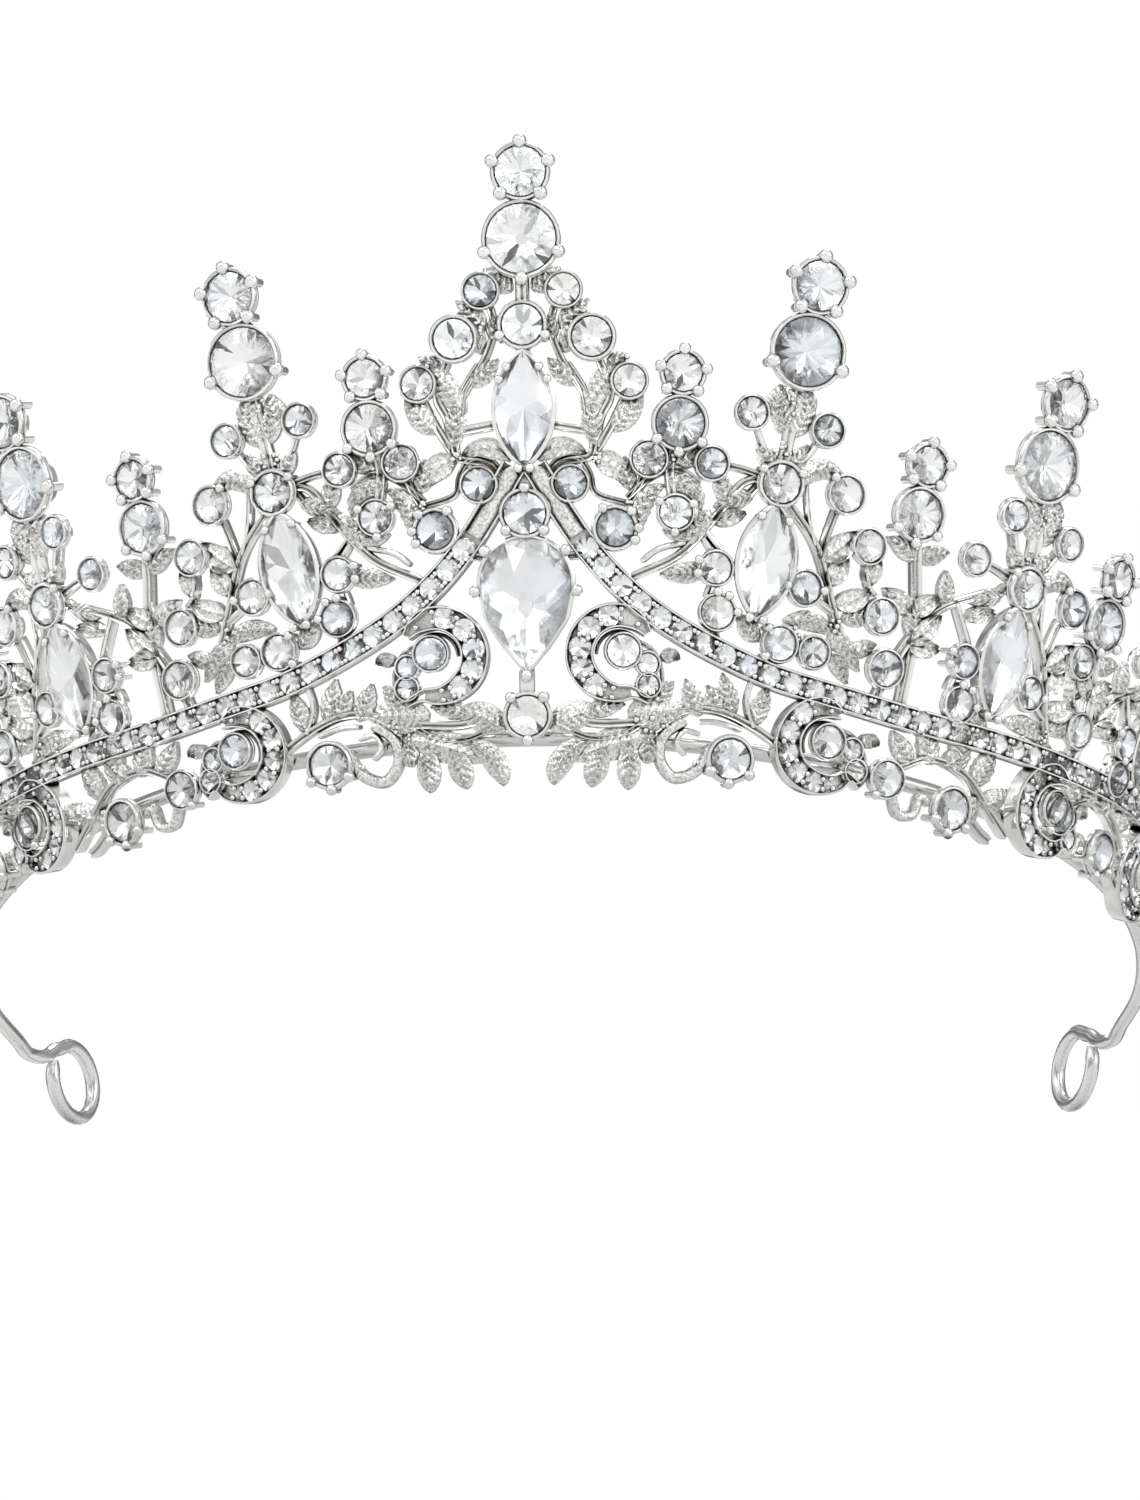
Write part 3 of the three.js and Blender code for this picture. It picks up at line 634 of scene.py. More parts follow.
def scroll(side, centre, turned):
    """A crescent of five small stones round an inner stone, with two more beside it and a tail."""
    def around(angle, radius):
        a = radians(angle + turned)
        return shifted(*centre, radius * cos(a), radius * sin(a))

    def near(along, up):
        c, s = cos(radians(turned * 0.6)), sin(radians(turned * 0.6))
        return shifted(*centre, along * c - up * s, along * s + up * c)

    def outer_radius(a):
        return 5.0 + 0.5 * cos(radians(a - 170)) - 0.9 * (a < 70) * (70 - a) / 40

    def inner_radius(a):
        return 2.85 + 0.5 * (a < 70) * (70 - a) / 40 + 0.7 * max(0, a - 230) / 60

    turns = range(38, 296, 18)
    outer = [around(a, outer_radius(a)) for a in turns]
    inner = [around(a, inner_radius(a)) for a in turns]
    floor = [((o[0] + i[0]) / 2, (o[1] + i[1]) / 2) for o, i in zip(outer, inner)]
    gap = [dist(o, i) for o, i in zip(outer, inner)]
    shares = np.linspace(0, 1, len(gap))
    side.line(floor, lambda t: float(np.interp(t, shares, gap)), PLATE, DARK, lift=-0.34)
    tip = near(3.1, -5.0)
    rail(side, outer + [tip])
    rail(side, inner + [near(3.4, -4.4)])
    for angle in (107, 141, 172, 203, 233):
        pave(side, around(angle, 4.1), 0.4)
    for angle in (90, 124, 156, 188, 218, 247, 60, 262):
        for radius in (3.6, 4.6):
            side.row_grain(around(angle, radius))
    side.berry(near(0.35, 0.3), 3.3, lift=0.8)
    side.line([around(a, 2.35) for a in range(20, 200, 18)], 0.45, ROUND)
    side.berry(near(2.95, -0.9), 2.1, lift=0.6)
    side.berry(near(3.1, -3.1), 2.1, lift=0.6)
    side.line([near(1.4, 1.6), near(3.4, 0.6), near(4.5, -1.6), near(4.2, -4.2), tip], 0.5, ROUND)
    side.leaf(near(4.3, -0.4), 50, 2.2, 1.3, -100, "dished")


def spirelet(side, name, entry):
    place, crowned, route = entry
    low = route[0]
    if crowned:
        side.set_round(f"{name}_stone", place, SPIRELET_STONE, [-38, 218, -90], bead=0.6)
        top = shifted(*place, 0, stack_rise(SPIRELET_STONE, SPIRELET_TOP))
        side.set_round(f"{name}_top_stone", top, SPIRELET_TOP, [90, 12, 168, -48, 228], bead=0.66)
    else:
        side.set_round(f"{name}_stone", place, SPIRELET_STONE, [150, 30, -38, 218], bead=0.6)
        side.leaf(shifted(*place, 0, 2.8), 90, 4.2, 1.8)
    side.line([place, *route], 1.2)
    side.leaf(low, 35, 4.2, 1.7, -20)
    side.leaf(low, 145, 4.2, 1.7, 20)
    side.grains(shifted(*place, 0, -3.0), 8, 1.2)
    middle = ((place[0] + route[-1][0]) / 2, (place[1] + route[-1][1]) / 2)
    side.leaf(middle, 48, 4.2, 1.7, -20, "dished")
    side.leaf(middle, 138, 4.0, 1.7, 20, "dished")


def long_stone(name, place, spin, outline_of, width, cast):
    axes = cone_frame(*place, STONE_LIFT, radians(spin))
    stones[name] = Work()
    cut_stone(stones[name], axes, outline_of(0.0, 16), 0.2 * width, 0.18 * width, 0.5, 0.8, 0.5, 0.6)
    long_cup(cast, axes, lambda grow: outline_of(grow, 40), 0.25 * width + 0.4)
    return axes


def end_claws(work, axes, spots, radius):
    height = 0.35
    profile = [(0, -1.6), (radius * 0.6, -1.6), (radius * 0.62, height - 0.3), *dome(radius, height)]
    for spot in spots:
        work.lathe(axes, profile, CLAW_SIDES, BRIGHT, spot)


def spire(side, name, entry, first):
    (u, z), foot, lean, size = entry
    cast = side.cast(foot[0])

    def from_foot(along, up):
        return foot[0] + along * size, foot[1] + up * size

    here = Side(side.sign, from_foot)
    neck = from_foot(0.6, 7.6)
    big, small = SPIRE_STONE * size, SPIRE_TOP * size
    length, width = MARQUISE[0] * size, MARQUISE[1] * size
    top = shifted(u, z, 0.5 * size, stack_rise(big, small))
    side.set_round(f"{name}_stone", (u, z), big, [-22, 202], bead=0.78)
    side.set_round(f"{name}_top_stone", top, small, [88, 16, 160, -52, 232], bead=0.76)
    side.set_round(f"{name}_neck_stone", neck, NECK_STONE * size, [148, 32], bead=0.5)
    axes = long_stone(
        f"{name}_marquise", side.at(foot), -lean * side.sign,
        lambda grow, count: marquise_outline(length, width, count, grow), width, cast,
    )
    tip = length / 2
    end_claws(cast, axes, [(-0.75, -tip - 0.1), (0.75, -tip - 0.1), (-1.5, tip - 1.5), (1.5, tip - 1.5)], 0.5)
    # three stems that fan out of the neck, and the textured shoulders under the big stone
    side.line([neck, from_foot(0.9, 12), (u - 0.1, z - big * 0.45)], 1.5, DOUBLE)
    side.line([neck, from_foot(-1.2, 11), from_foot(-2.5, 14.1)], 0.75, ROUND)
    side.line([neck, from_foot(2.8, 10.6), from_foot(4.3, 13.5)], 0.75, ROUND)
    here.berry((-2.6, 14.1))
    here.berry((4.2, 13.4))
    here.leaves(
        (0.8, 12.4, 118, 5.0, 1.9, -22), (1.2, 12.2, 62, 5.2, 1.9, 14),
        (1.0, 9.4, 35, 3.4, 1.5, 30), (0.2, 9.2, 150, 3.2, 1.5, -30), (2.6, 14.4, 118, 3.6, 1.9, -30),
        (-0.9, 14.2, 60, 3.4, 1.9, 30),
    )
    here.grains((0.9, 15.4), 16, 2.0)
    here.grains((0.7, 10.4), 12, 1.4)
    here.grains((2.4, 9.0), 6, 0.8)
    # arched leaf and the stone under its tip
    here.leaf((2.2, 7.4), 78, 7.0, 1.8, -140, "veined", 0.25)
    here.berry((6.7, 7.6), 3.6, [135])
    here.line([(6.2, 6.2), (5.6, 3.6), (5.2, 1.4)], 0.9)
    here.line([(3.0, 8.2), (3.6, 5), (4.6, 2.3)], 0.6, ROUND)
    # the stem down the outer side, with its leaves and stones
    here.line([(1.9, 5.6), (4.6, 2.3), (7.4, -4.0), (9.2, -7.6)])
    here.berry((9.6, 3.1), 3.3)
    here.leaves(
        (5.4, 1.0, 40, 5.0, 2.2, 12, "dished"), (6.5, -1.4, 76, 3.8, 1.8, -20, "dished"),
        (7.2, -3.0, 16, 4.4, 1.9, 26, "dished"), (10.4, -0.6, 96, 3.6, 1.6, -30, "dished"),
    )
    here.berry((12.0, -3.3), 3.4)
    here.line([(11.2, -1.4), (10.4, -0.6), (9.8, 1.6)], 0.7, ROUND)
    here.berry((4.0, -2.0), 3.3, [180, 0])
    here.line([(5.6, -2.9), (7.2, -3.8)], 0.8, ROUND)
    # berries and a leaf spray that stand on the ribbon
    if first:
        here.berry((2.2, -7.7), 3.4, [135, 225])
        here.berry((5.7, -8.0), 3.0)
    here.leaves(
        (2.6, -5.4, 18, 6.4, 1.7, -52), (7.2, -5.6, -38, 5.4, 1.8, -8),
        (7.6, -7.4, -52, 4.0, 1.5), (0.4, -7.6, 150, 3.8, 1.7, -30), (8.4, -4.4, 30, 3.8, 1.8, -30),
    )
    here.grains((4.2, -6.6), 8, 1.2)
    here.grains((7.4, -5.2), 6, 0.9)
    here.leaf((9.6, -7.6), 40, 3.4, 1.5, -20)
    if first:
        side.twig([from_foot(13.3, -8.2), on_ribbon(foot[0] + 13.3)], 3.6)
    # the inner side
    here.berry((-4.1, -5.4), 3.4, [95, 60, 5])
    side.line([from_foot(-4.1, -7.2), on_ribbon(foot[0] - 4 * size)], 1.2)
    here.berry((-4.6, -1.2), 3.2, [200, 160])
    here.line([(-4.9, -2.8), (-5.3, -4.2)], 0.7, ROUND)
    here.line([(-4.0, 0.4), (-5.6, 2.2) if first else (-6.5, 4.2)], 0.8, ROUND)
    here.leaf((-1.6, 6.4), 208, 4.6, 1.6, -10)
    if not first:
        climb = [(-10.9, -0.9), (-8.2, 3.0), (-4.8, 5.2), (-1.4, 6.8)]
        side.line([on_ribbon(foot[0] - 13.6 * size), *(from_foot(*spot) for spot in climb)])
        here.leaves(
            (-10.9, -0.9, 42, 5.0, 1.8, 16, "dished"),
            (-10.9, -1.1, -4, 4.0, 1.7, 24, "dished"), (-10.4, -0.4, 104, 4.4, 1.7, -20),
            (-7.4, 3.6, 112, 3.8, 1.6, -20),
        )
    side.twig([from_foot(-5.7, 8.8), from_foot(-3, 8.6), neck], 3.1)
    here.line([(-4.6, 3.6), (-2.8, 5.2), (-1.2, 7.4)], 0.9)
    here.leaf((-5.0, 3.2), 18, 3.6, 1.4, 10, "dished")


def centre_column():
    cast = casts["centre"]
    middle = Side(1)
    for name, diameter, beads, bead in (
        ("spire", SPIRE_STONE, [-20, 200, -90], 0.72),
        ("neck", CENTRE_NECK, [205, 335], 0.55),
        ("collet", COLLET_STONE, [90, 222, -42], 0.6),
        ("base", BASE_STONE, [48, 132, -90], 0.62),
    ):
        middle.set_round(f"centre_{name}_stone", (0, CENTRE[name]), diameter, beads, bead=bead)
    top = shifted(0, CENTRE["spire"], 0, stack_rise(SPIRE_STONE, SPIRE_TOP))
    middle.set_round("centre_spire_top_stone", top, SPIRE_TOP, [90, 20, 160, -48, 228], bead=0.76)
    axes = long_stone(
        "centre_marquise", (0, CENTRE["marquise"]), 0,
        lambda grow, count: marquise_outline(*MARQUISE, count, grow), MARQUISE[1], cast,
    )
    end_claws(cast, axes, [(-1.7, 4.3), (1.7, 4.3), (-2.5, 3.0), (2.5, 3.0), (-0.6, -6.2), (0.6, -6.2)], 0.5)
    axes = long_stone(
        "centre_pear_stone", (0, CENTRE["pear"]), 0,
        lambda grow, count: pear_outline(*PEAR, count, grow), PEAR[1], cast,
    )
    end_claws(cast, axes, [(-4.2, 5.6), (4.2, 5.6), (-5.3, 1.4), (5.3, 1.4), (0, -7.3)], 0.62)
    column = [(0, 62), (0, 52.9), (0, 44.6), (0, 36.6), (0, 26.5), (0, 18), (0, 7.1)]
    middle.line(column, 1.5, PLATE, lift=-0.5)
    middle.line([(0, 49.2), (0, 46.4)], 1.3, DOUBLE, lift=0.3)
    middle.line([(0, 11.4), (0, 9.4)], 1.6, PLATE, lift=0.7, ends=(1, 1))


def centre_foliage(side):
    """One half of the foliage round the middle stones."""
    junction = (5.8, 32.2)
    side.set_round(f"{side.name}_crest_stone", (5.6, 43.5), 4.1, [], bead=0.5)
    side.set_round(f"{side.name}_collar_stone", (8, 25.2), 3.8, [125, 48, 2, -30], bead=0.55)
    side.line([(1.6, 29.6), (3.4, 31.4), junction, (5.4, 36), (5.0, 38.4), (3.6, 41)])
    side.line([junction, (6.6, 36), (7.3, 38), (6.2, 41.6)])
    side.line([(5.1, 38), (3.0, 41.8), (2.3, 44.6), (2.6, 46.6)], 0.85)
    side.berry((3.3, 48.0), 3.3)
    side.line([(3.0, 49.4), (1.2, 50.4), (0.4, 50.2)], 1.0, ROUND, GRAINY)
    side.leaves(
        (0.8, 48.0, 38, 3.8, 2.0, 0, "veined", -0.2), (3.4, 42.0, 72, 5.0, 1.9, -20),
        (2.5, 43.2, 98, 2.8, 1.2),
    )
    side.grains((3.8, 44.6), 10, 1.1)
    side.leaves(
        (3.1, 44.2, 62, 4.4, 1.7, -30), (5.0, 46.2, 150, 2.4, 1.3, -10),
    )
    side.grains((4.6, 46.2), 5, 0.8)
    side.leaves(
        (1.7, 43.0, 80, 3.4, 1.4, -20), (4.6, 39.0, 150, 4.2, 1.7, -20),
        (5.0, 36.4, 58, 6.8, 2.2, -6), (6.5, 32.8, 112, 4.4, 1.5), (6.9, 41.3, 5, 2.4, 1.2, 30),
    )
    side.grains((8.0, 41.6), 5, 0.7)
    # third stone of the edge on its pair of stems
    side.berry((8.8, 39.4), 3.3)
    side.line([(8.5, 37.8), (7.4, 35), (6.2, 32.6)])
    side.leaves(
        (7.4, 34.6, 44, 5.2, 2.1, 16), (6.0, 33.6, 100, 4.4, 1.9, -18),
    )
    side.line([(1.9, 35.2), (5.4, 34.6)], 1.1)
    # arch beside the foot of the marquise
    side.leaf((1.2, 31.6), 52, 5.6, 1.7, -92, "dished", 0.2)
    side.berry((4.0, 29.4), 3.3)
    side.line([(1.6, 29.4), (2.8, 31.6), (4.6, 31.9), (5.7, 30.4), (6.2, 28.6), (9.2, 27.6)], 0.7)
    side.leaf((5.9, 31.9), -6, 4.6, 2.1, -70, "dished")
    side.grains((6.0, 32.0), 6, 0.7)
    side.grains((9.4, 27.4), 6, 0.8)
    side.line([(9.2, 27.6), (10, 29.4), (10.4, 30.6)], 0.8)
    side.berry((10.7, 32), 3.4)
    side.line([(9.0, 28.2), (11, 30.2), (13.2, 31.2), (15.4, 30)], 0.8)
    # wreath of leaves round a stone
    side.berry((13.3, 27), 3.3, [150, 30, 270])
    side.leaves(
        (10.3, 25.2, 108, 6.0, 1.8, -95, "toothed"), (12.2, 30.0, 12, 5.6, 1.9, -100, "toothed"),
        (16.4, 27.6, -100, 6.2, 2.0, -110, "toothed"),
    )
    side.line([(9.6, 25.6), (10.2, 27), (11.2, 27.8)], 0.7, ROUND)
    # long stem that climbs from the ribbon to the first side spire
    side.line([(9.7, 20.6), (13.9, 23.0), (17.2, 27.2), (19.4, 30.6), (21.6, 31.2)])
    side.line([(10.6, 22.2), (12.0, 23.4), (14.4, 24.2)], 0.7, ROUND)
    side.leaves(
        (16.6, 21.8, 196, 5.0, 1.8, -14), (14.8, 24.4, 78, 3.8, 1.6, -30),
        (18.0, 28.4, 120, 3.8, 1.7, -20), (9.4, 29.0, 118, 3.6, 1.6, -30),
    )
    side.line([(16.0, 24.8), (17.0, 23.4)], 0.7, ROUND)
    side.line([(3.2, 22.4), (5.2, 22.6)], 0.9)
    # leaves that hang between the middle stone and the first scroll
    side.line([(1.6, 6.6), (3.4, 7.2), (6.4, 6.5), (12.4, 6.9)], 1.0)
    side.line([(3.6, 6.0), (6.4, 5.1), (9.6, 5.6), (11.8, 7.0)], 0.7)
    side.leaves(
        (2.2, 5.8, 42, 6.0, 2.5, -48), (6.0, 7.4, 30, 4.0, 1.7, -30),
        (12.8, 5.6, 190, 9.4, 2.8, 18, "veined", -0.25), (6.4, 4.9, -166, 6.6, 2.0, 78, "lobe", 0.1),
        (8.2, 4.8, -124, 5.2, 2.0, 30, "lobe"), (10.3, 5.2, -94, 5.4, 2.0, 8, "lobe", 0.1),
        (12.0, 5.4, -80, 2.8, 1.7, -20, "lobe"), (9.8, 7.6, 8, 6.6, 3.0, -10),
    )
    side.grains((12.4, 7.6), 18, 1.9)
    side.leaves(
        (12.2, 8.2, 62, 3.6, 1.8, -20), (19.6, 8.4, 140, 3.4, 1.7, -20),
    )
    # arch over the first base stone, and its curl
    side.line([(12.6, 6.0), (15.2, 8.0), (18.6, 8.4), (22.6, 7.2), (26.2, 5.4)])
    curl = [(15.6, 7.2), (13.6, 5.6), (13.3, 3.4), (14.8, 1.7), (16.8, 2.2), (18.0, 3.6), (18.6, 5.0)]
    side.line(curl, 1.3, ROUND, GRAINY)
    side.line([(17.2, 6.0), (15.6, 6.2), (14.9, 4.9), (15.9, 3.9)], 0.6, ROUND)
    side.line([(17.0, 7.2), (19.0, 7.3), (21.4, 6.8)], 0.6, ROUND)
    side.grains((17.2, 3.0), 4, 0.6)
    side.leaves(
        (17.2, 7.8, 128, 4.2, 1.8, -20, "toothed"), (20.4, 7.9, 112, 4.8, 1.8, -6, "toothed"),
        (22.4, 7.3, 70, 4.6, 1.7, 8, "toothed"),
    )
    side.line([(22.6, 7.2), (21.6, 9.6), (22, 12)], 0.7, ROUND)


def base_link(side, place):
    """The lower row between two scrolls: a link stone, a curl, and three leaves."""
    def near(along, up):
        return place[0] + along, place[1] + up

    here = Side(side.sign, near)
    here.twig([(-8.4, 1.2), (-13.2, 1.6)], 3.6, beads=[240])
    curl = [(-7, -0.2), (-5.8, -1.8), (-4.0, -1.4), (-3.6, 0.4), (-2.4, 0)]
    here.line(curl, 1.1, ROUND, GRAINY)
    here.line([(-7.2, 2.4), (-3.6, 4.2), (1.0, 3.8), (5.4, 1.2), (8.6, -0.6)], 0.9)
    here.leaves(
        (-3.0, 3.8, 126, 4.4, 2.1, -20, "toothed"), (0.2, 3.8, 96, 5.0, 2.2, 0, "toothed"),
        (2.6, 3.0, 66, 5.0, 2.1, 10, "toothed"), (4.2, 1.4, 30, 4.2, 1.9, 20),
        (-5.4, 3.4, 152, 4.2, 1.8, -30), (-1.6, 4.0, 40, 3.2, 1.6, 30),
        (3.2, 2.0, -96, 3.4, 1.7, -10, "lobe"),
    )
    side.line([near(-0.4, 3.8), near(-0.2, 6.2), on_ribbon(place[0])], 0.8, ROUND)
    here.line([(2.6, 0), (5, -1.2), (6.4, -1.6)], 1.2)


def panel_end(side):
    side.line([(82, 11.2), (86.6, 6.8), (89.6, 4.8)], 1.2)
    side.line([(78, 3.8), (84, 4.0), (89.6, 4.8)], 1.2)
    side.line([(89.6, 4.8), (90.4, 7.4), (88.6, 9.6)], 1.5)
    side.leaves(
        (86, 11, 78, 5, 1.9), (88, 10, 40, 4.4, 1.8), (84.6, 5.4, 60, 4.2, 1.7),
    )
    side.grains((86.8, 5.0), 8, 1.2)


for sign in (1, -1):
    half = Side(sign)
    ribbon(half)
    centre_foliage(half)
    for index, entry in enumerate(SPIRES):
        spire(half, f"{half.name}_spire_{index + 1}", entry, index == 0)
    for index, entry in enumerate(SPIRELETS):
        spirelet(half, f"{half.name}_spirelet_{index + 1}", entry)
    for centre, turned in SCROLLS:
        scroll(half, centre, turned)
    for index, place in enumerate(BASE_STONES):
        half.set_round(f"{half.name}_base_stone_{index + 1}", place, BASE_STONE, [-90, 215, -35], bead=0.6)
    for place in BASE_STONES[1:]:
        base_link(half, place)
    panel_end(half)
centre_column()


# ---- the band ----
STEPS = 14
LOOP_RUN = 14
LOOP_START, LOOP_TURN = 132, 327


def half_band():
    """The wire's middle line from beside the front to the end of its loop."""
    def on_ring(angle, z):
        return BAND_RADIUS * sin(angle), RING_Y - BAND_RADIUS * cos(angle), z

    arm_end = LOOP_ANGLE - LOOP_RUN / RING_RADIUS
    points = []
    for i in range(1, STEPS + 1):
        z = WIRE_HEIGHT + (ARM_HEIGHT - WIRE_HEIGHT) * i / STEPS
        points.append(on_ring(arm_end * i / STEPS, z))
    centre = np.array(on_ring(LOOP_ANGLE, LOOP_RADIUS + WIRE_RADIUS))
    back = np.array([cos(LOOP_ANGLE), sin(LOOP_ANGLE), 0.0])
    places = [(-9.5, 0.35), (-7.2, 0.7), (-5.5, 1.5), (-4.3, 2.5)]
    for i in range(STEPS + 1):
        angle = radians(LOOP_START - LOOP_TURN * i / STEPS)
        places.append((LOOP_RADIUS * cos(angle), LOOP_RADIUS * sin(angle)))
    points += [tuple(centre + back * along + np.array([0, 0, up])) for along, up in places]
    return points


def wire(work, points, radius, sides=20):
    """A round wire through points in space, with rounded ends."""
    line = smooth_route(points, 0.6)
    tangent = np.gradient(line, axis=0)
    tangent /= np.linalg.norm(tangent, axis=1)[:, None]
    turns = np.arange(sides) * 2 * pi / sides
    normal = np.cross(tangent[0], [0, 0, 1.0])
    rows = []
    for i, (point, ahead) in enumerate(zip(line, tangent)):
        normal = normal - ahead * (normal @ ahead)
        normal /= np.linalg.norm(normal)
        other = np.cross(ahead, normal)
        r = radius * (0.72 if i in (0, len(line) - 1) else 1)
        rows.append(point + r * (np.cos(turns)[:, None] * normal + np.sin(turns)[:, None] * other))
    work.skin(np.stack(rows), 0)


band = Work()
left_half = half_band()
right_half = [(-x, y, z) for x, y, z in reversed(left_half)]
wire(band, right_half + [(0, RING_Y - BAND_RADIUS, WIRE_HEIGHT)] + left_half, WIRE_RADIUS)


# ---- materials ----
def feed(socket, value):
    """Links an input to a socket, or sets it."""
    if isinstance(value, bpy.types.NodeSocket):
        socket.id_data.links.new(value, socket)
    else:
        socket.default_value = value


def set_inputs(node, **inputs):
    for key, value in inputs.items():
        feed(node.inputs[key.replace("_", " ")], value)


def new_node(tree, kind, **inputs):
    node = tree.nodes.new(f"ShaderNode{kind}")
    set_inputs(node, **inputs)
    return node


def new_material(name, **inputs):
    material = bpy.data.materials.new(name)
    material.use_nodes = True
    shader = material.node_tree.nodes["Principled BSDF"]
    set_inputs(shader, **inputs)
    return material, material.node_tree, shader


def noise(tree, scale, space="Object", **inputs):
    """Noise on the piece's own coordinates, which are metres in the part's frame."""
    place = new_node(tree, "TexCoord").outputs[space]
    return new_node(tree, "TexNoise", Vector=place, Scale=scale, **inputs).outputs["Fac"]


def ramp(source, low, high, start=0.35, end=0.65):
    limits = {"From_Min": start, "From_Max": end, "To_Min": low, "To_Max": high}
    return new_node(source.id_data, "MapRange", Value=source, **limits).outputs["Result"]


def product(first, second):
    node = new_node(first.id_data, "Math")
    node.operation = "MULTIPLY"
    feed(node.inputs[0], first)
    feed(node.inputs[1], second)
    return node.outputs["Value"]


def mix_colours(factor, low, high):
    """Sockets: factor 0, colours 6 and 7, result 2."""
    node = new_node(factor.id_data, "Mix")
    node.data_type = "RGBA"
    for socket, value in ((0, factor), (6, low), (7, high)):
        feed(node.inputs[socket], (*value, 1) if isinstance(value, tuple) else value)
    return node.outputs[2]


def two_tones(cloud, low, high):
    return mix_colours(ramp(cloud, 0.0, 1.0), low, high)


def mix_shaders(tree, factor, first, second, end):
    node = new_node(tree, "MixShader")
    for socket, source in enumerate((factor, first, second)):
        feed(node.inputs[socket], source)
    set_inputs(end, Surface=node.outputs["Shader"])


def bump(height, strength, distance):
    node = new_node(height.id_data, "Bump", Strength=strength, Distance=distance * MM, Height=height)
    return node.outputs["Normal"]


def silver(name, light, shade, shade_and_pit_colour, rough, grain_size, strength, reach, pits):
    """Plated cast alloy: bright on its ridges, with painted shade in its recesses, slightly uneven."""
    material, tree, shader = new_material(name, Metallic=1.0)
    tone = two_tones(noise(tree, 420, Detail=4.0), shade, light)
    # painted shade: ambient occlusion within the given reach darkens the recesses
    painted_shade_ao = new_node(tree, "AmbientOcclusion", Distance=reach * MM)
    painted_shade_ao.samples = 6
    depth = ramp(painted_shade_ao.outputs["AO"], 0.0, 1.0, 0.25, 0.85)
    fine = noise(tree, 1000 / grain_size, Detail=3.0, Roughness=0.6)
    # painted shade in the recesses and the pits of the grain both take the dark shade-and-pit colour
    unshaded_unpitted_share = product(depth, ramp(fine, 1 - pits, 1.0, 0.4, 0.52))
    set_inputs(
        shader, Base_Color=mix_colours(unshaded_unpitted_share, shade_and_pit_colour, tone),
        Roughness=ramp(fine, rough * 0.75, rough * 1.35), Normal=bump(fine, strength, 0.12),
    )
    return material


def drawn_wire():
    """Springy steel wire, plated, with a faint unevenness left by the drawing die."""
    material, tree, shader = new_material("band_wire", Metallic=1.0)
    lines = noise(tree, 900, Detail=2.0, Distortion=0.3)
    tone = two_tones(noise(tree, 60, Detail=3.0), (0.68, 0.68, 0.67), (0.78, 0.78, 0.77))
    set_inputs(shader, Base_Color=tone, Roughness=ramp(lines, 0.14, 0.22), Normal=bump(lines, 0.05, 0.03))
    return material


def crystal():
    """Clear lead glass: nearly smooth, with a trace of colour that wanders from stone to stone."""
    material, tree, shader = new_material(
        "crystal", Transmission_Weight=1.0, IOR=1.3, Coat_Weight=1.0, Coat_Roughness=0.02, Coat_IOR=1.5,
    )
    cloud = noise(tree, 90, Detail=1.0)
    tone = two_tones(cloud, (0.97, 0.985, 1.0), (1.0, 1.0, 1.0))
    set_inputs(shader, Base_Color=tone, Roughness=ramp(cloud, 0.0, 0.02))
    return material


def foil():
    """The silvered back of a stone, seen through the glass, darkened facet by facet with painted shade."""
    material, tree, shader = new_material("foil_back", Metallic=1.0)
    tone = two_tones(noise(tree, 90, Detail=1.0), (0.955, 0.975, 0.99), (0.99, 0.99, 0.98))
    # painted shade: each facet's stored value pulls the foil towards near black
    facet = new_node(tree, "Attribute")
    facet.attribute_name = FACET_PAINTED_SHADE
    shaded = mix_colours(facet.outputs["Fac"], (0.05, 0.055, 0.06), tone)
    set_inputs(shader, Base_Color=shaded, Roughness=ramp(noise(tree, 900, Detail=2.0), 0.1, 0.2))
    return material


# name; light and shade tones; colour of the painted shade and pits; roughness, size of the grain, bump, reach
# of the painted shade, pits
CAST_LOOKS = [silver(f"silver_{name}", *look) for name, *look in (
    ("bright", (0.93, 0.925, 0.91), (0.8, 0.795, 0.782), (0.13, 0.127, 0.12), 0.12, 0.5, 0.12, 0.6, 0.0),
    ("grained", (0.98, 0.975, 0.96), (0.87, 0.865, 0.85), (0.16, 0.157, 0.15), 0.2, 0.3, 1.0, 0.45, 0.5),
    # darker colours for the sunk floors of the ribbon and the scrolls
    ("darker_floor", (0.85, 0.845, 0.83), (0.66, 0.655, 0.64), (0.1, 0.1, 0.1), 0.3, 0.25, 0.6, 0.5, 0.35),
)]
STONE_LOOKS = [crystal(), foil()]

for name, work in casts.items():
    make_piece(f"{name}_cast_work", work, CAST_LOOKS, [f"{name}_panel"])
for name, work in chips.items():
    make_piece(f"{name}_small_stones", work, STONE_LOOKS, faceted=True)
for name, work in stones.items():
    make_piece(f"{name}_cut", work, STONE_LOOKS, [name], faceted=True)
make_piece("band_wire", band, [drawn_wire()], ["headband_wire"])


# ---- floor, light and camera ----
def build_floor():
    """A pale floor, open from below so that it doesn't hide the tiara from a low camera."""
    bpy.ops.mesh.primitive_plane_add(size=8.0, location=(0, 0, -0.0002))
    floor = bpy.context.object
    floor.name = "floor"
    material, tree, shader = new_material("pale_floor", Roughness=0.7)
    tone = two_tones(noise(tree, 3.0, Detail=3.0), (0.9, 0.9, 0.9), (0.94, 0.94, 0.94))
    set_inputs(shader, Base_Color=tone)
    below = new_node(tree, "NewGeometry").outputs["Backfacing"]
    clear = new_node(tree, "BsdfTransparent").outputs["BSDF"]
    mix_shaders(tree, below, shader.outputs["BSDF"], clear, tree.nodes["Material Output"])
    floor.data.materials.append(material)


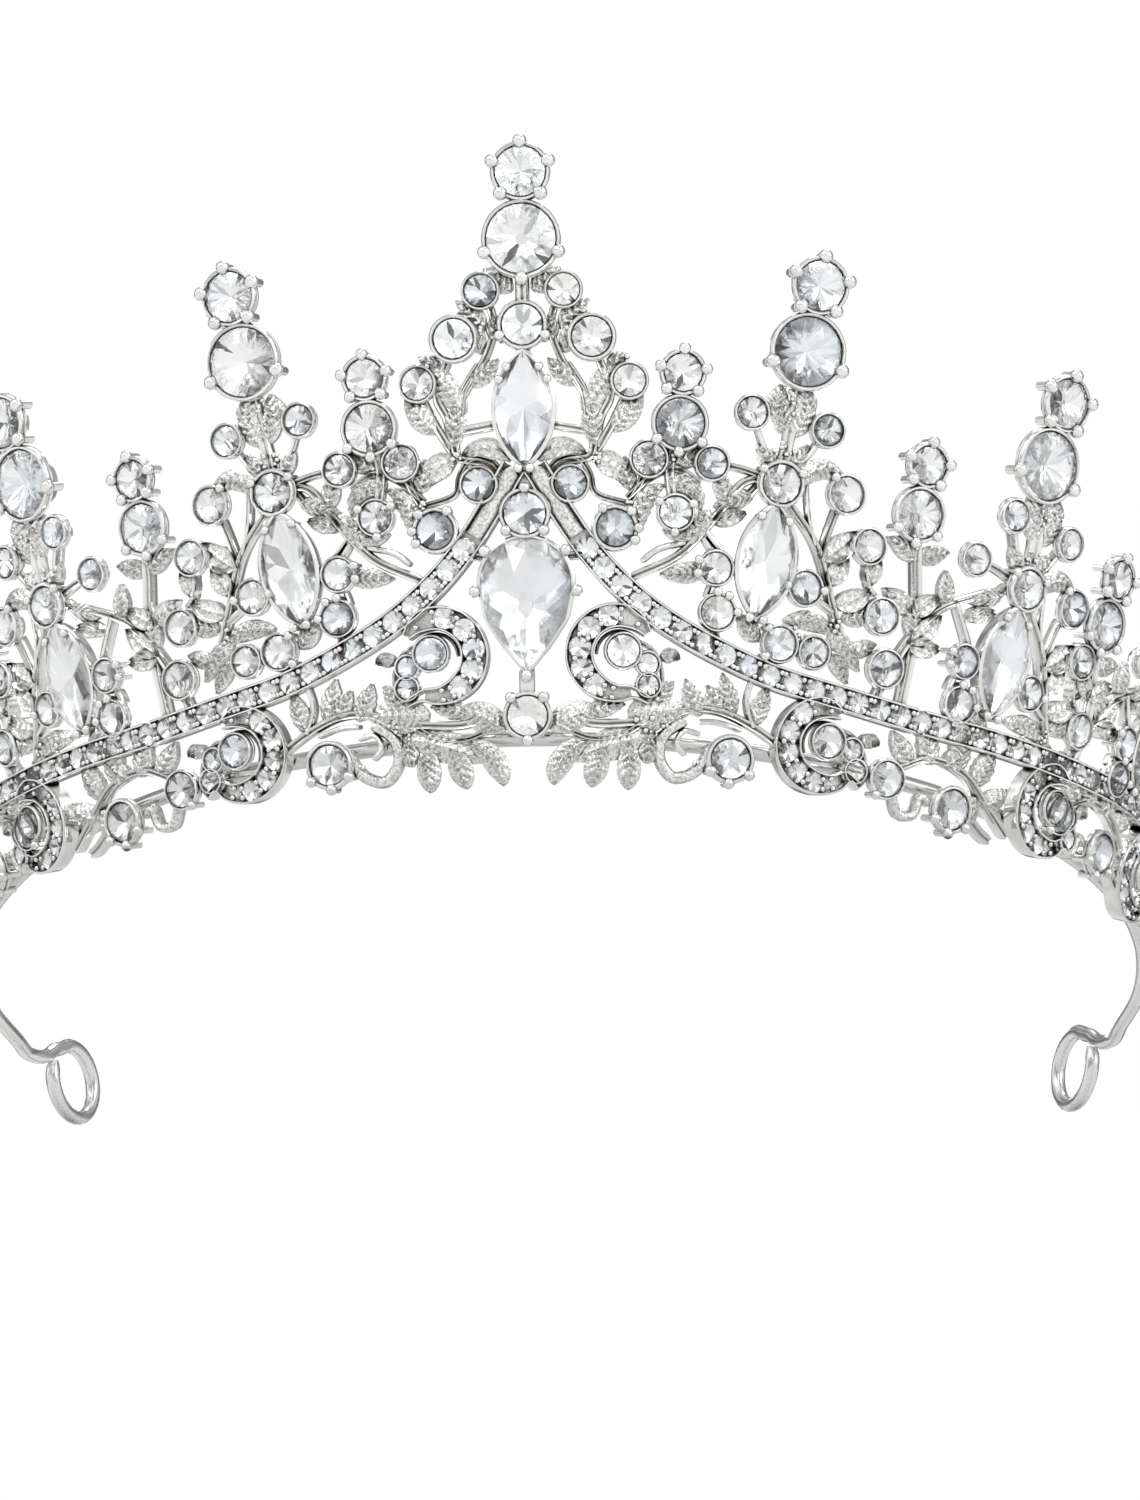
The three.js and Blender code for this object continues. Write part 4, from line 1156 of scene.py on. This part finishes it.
def build_world():
    """White behind everything; what the metal and stones mirror is a softly shaded studio."""
    world = bpy.data.worlds.new("studio")
    world.use_nodes = True
    bpy.context.scene.world = world
    tree = world.node_tree
    tree.nodes.clear()
    cloud = ramp(noise(tree, 2.6, "Generated", Detail=1.0), 0.55, 1.45, 0.4, 0.58)
    way = new_node(tree, "TexCoord").outputs["Generated"]
    back = ramp(new_node(tree, "SeparateXYZ", Vector=way).outputs["Y"], 1.15, 0.4, -0.3, 0.6)
    room = new_node(tree, "Background", Strength=product(cloud, back))
    white = new_node(tree, "Background", Color=(1, 1, 1, 1))
    seen = new_node(tree, "LightPath").outputs["Is Camera Ray"]
    end = new_node(tree, "OutputWorld")
    mix_shaders(tree, seen, room.outputs["Background"], white.outputs["Background"], end)


def softbox(name, place, size, watts):
    light = bpy.data.lights.new(name, "AREA")
    light.shape = "RECTANGLE"
    light.size, light.size_y = size
    light.energy = watts
    lamp = bpy.data.objects.new(name, light)
    lamp.location = place
    lamp.rotation_euler = (Vector((0, 0, 0.02)) - Vector(place)).to_track_quat("-Z", "Y").to_euler()
    bpy.context.scene.collection.objects.link(lamp)


CAMERA_PIVOT = np.array([0.0, -35.65, 23.3])
CAMERA_YAW, CAMERA_RISE, CAMERA_ROLL = (radians(a) for a in (2.795, 23.994, -0.241))
CAMERA_ACROSS, CAMERA_UP, CAMERA_DISTANCE = -4.12, 16.845, 658.17
FOCAL_PIXELS, IMAGE_HEIGHT, SENSOR = 9.55 * 658.17, 1500, 36.0


def build_camera():
    """Low in front of the tiara, looking up at it."""
    cr, sr = cos(CAMERA_RISE), sin(CAMERA_RISE)
    cy, sy = cos(CAMERA_YAW), sin(CAMERA_YAW)
    ahead = np.array([-cr * sy, cr * cy, sr])
    level, up = np.array([cy, sy, 0.0]), np.array([sr * sy, -sr * cy, cr])
    ct, st = cos(CAMERA_ROLL), sin(CAMERA_ROLL)
    right, top = ct * level - st * up, st * level + ct * up
    place = CAMERA_PIVOT - CAMERA_DISTANCE * ahead - CAMERA_ACROSS * right - CAMERA_UP * top
    data = bpy.data.cameras.new("camera")
    data.sensor_width = SENSOR
    data.lens = SENSOR * FOCAL_PIXELS / IMAGE_HEIGHT
    data.clip_start, data.clip_end = 0.01, 20
    camera = bpy.data.objects.new("camera", data)
    turn = Matrix([right, top, -ahead]).transposed().to_4x4()
    camera.matrix_world = Matrix.Translation(Vector(place * MM)) @ turn
    bpy.context.scene.collection.objects.link(camera)
    bpy.context.scene.camera = camera


build_floor()
build_world()
softbox("key_light", (-0.55, -0.8, 0.75), (0.4, 0.4), 2.2)
softbox("fill_light", (0.8, -0.55, 0.4), (0.3, 0.6), 1.5)
softbox("top_light", (0.1, 0.25, 1.0), (0.5, 0.35), 1.6)
softbox("back_light", (-0.3, 0.9, 0.5), (0.5, 0.3), 0.9)
build_camera()
bpy.context.scene.view_settings.view_transform = "Standard"
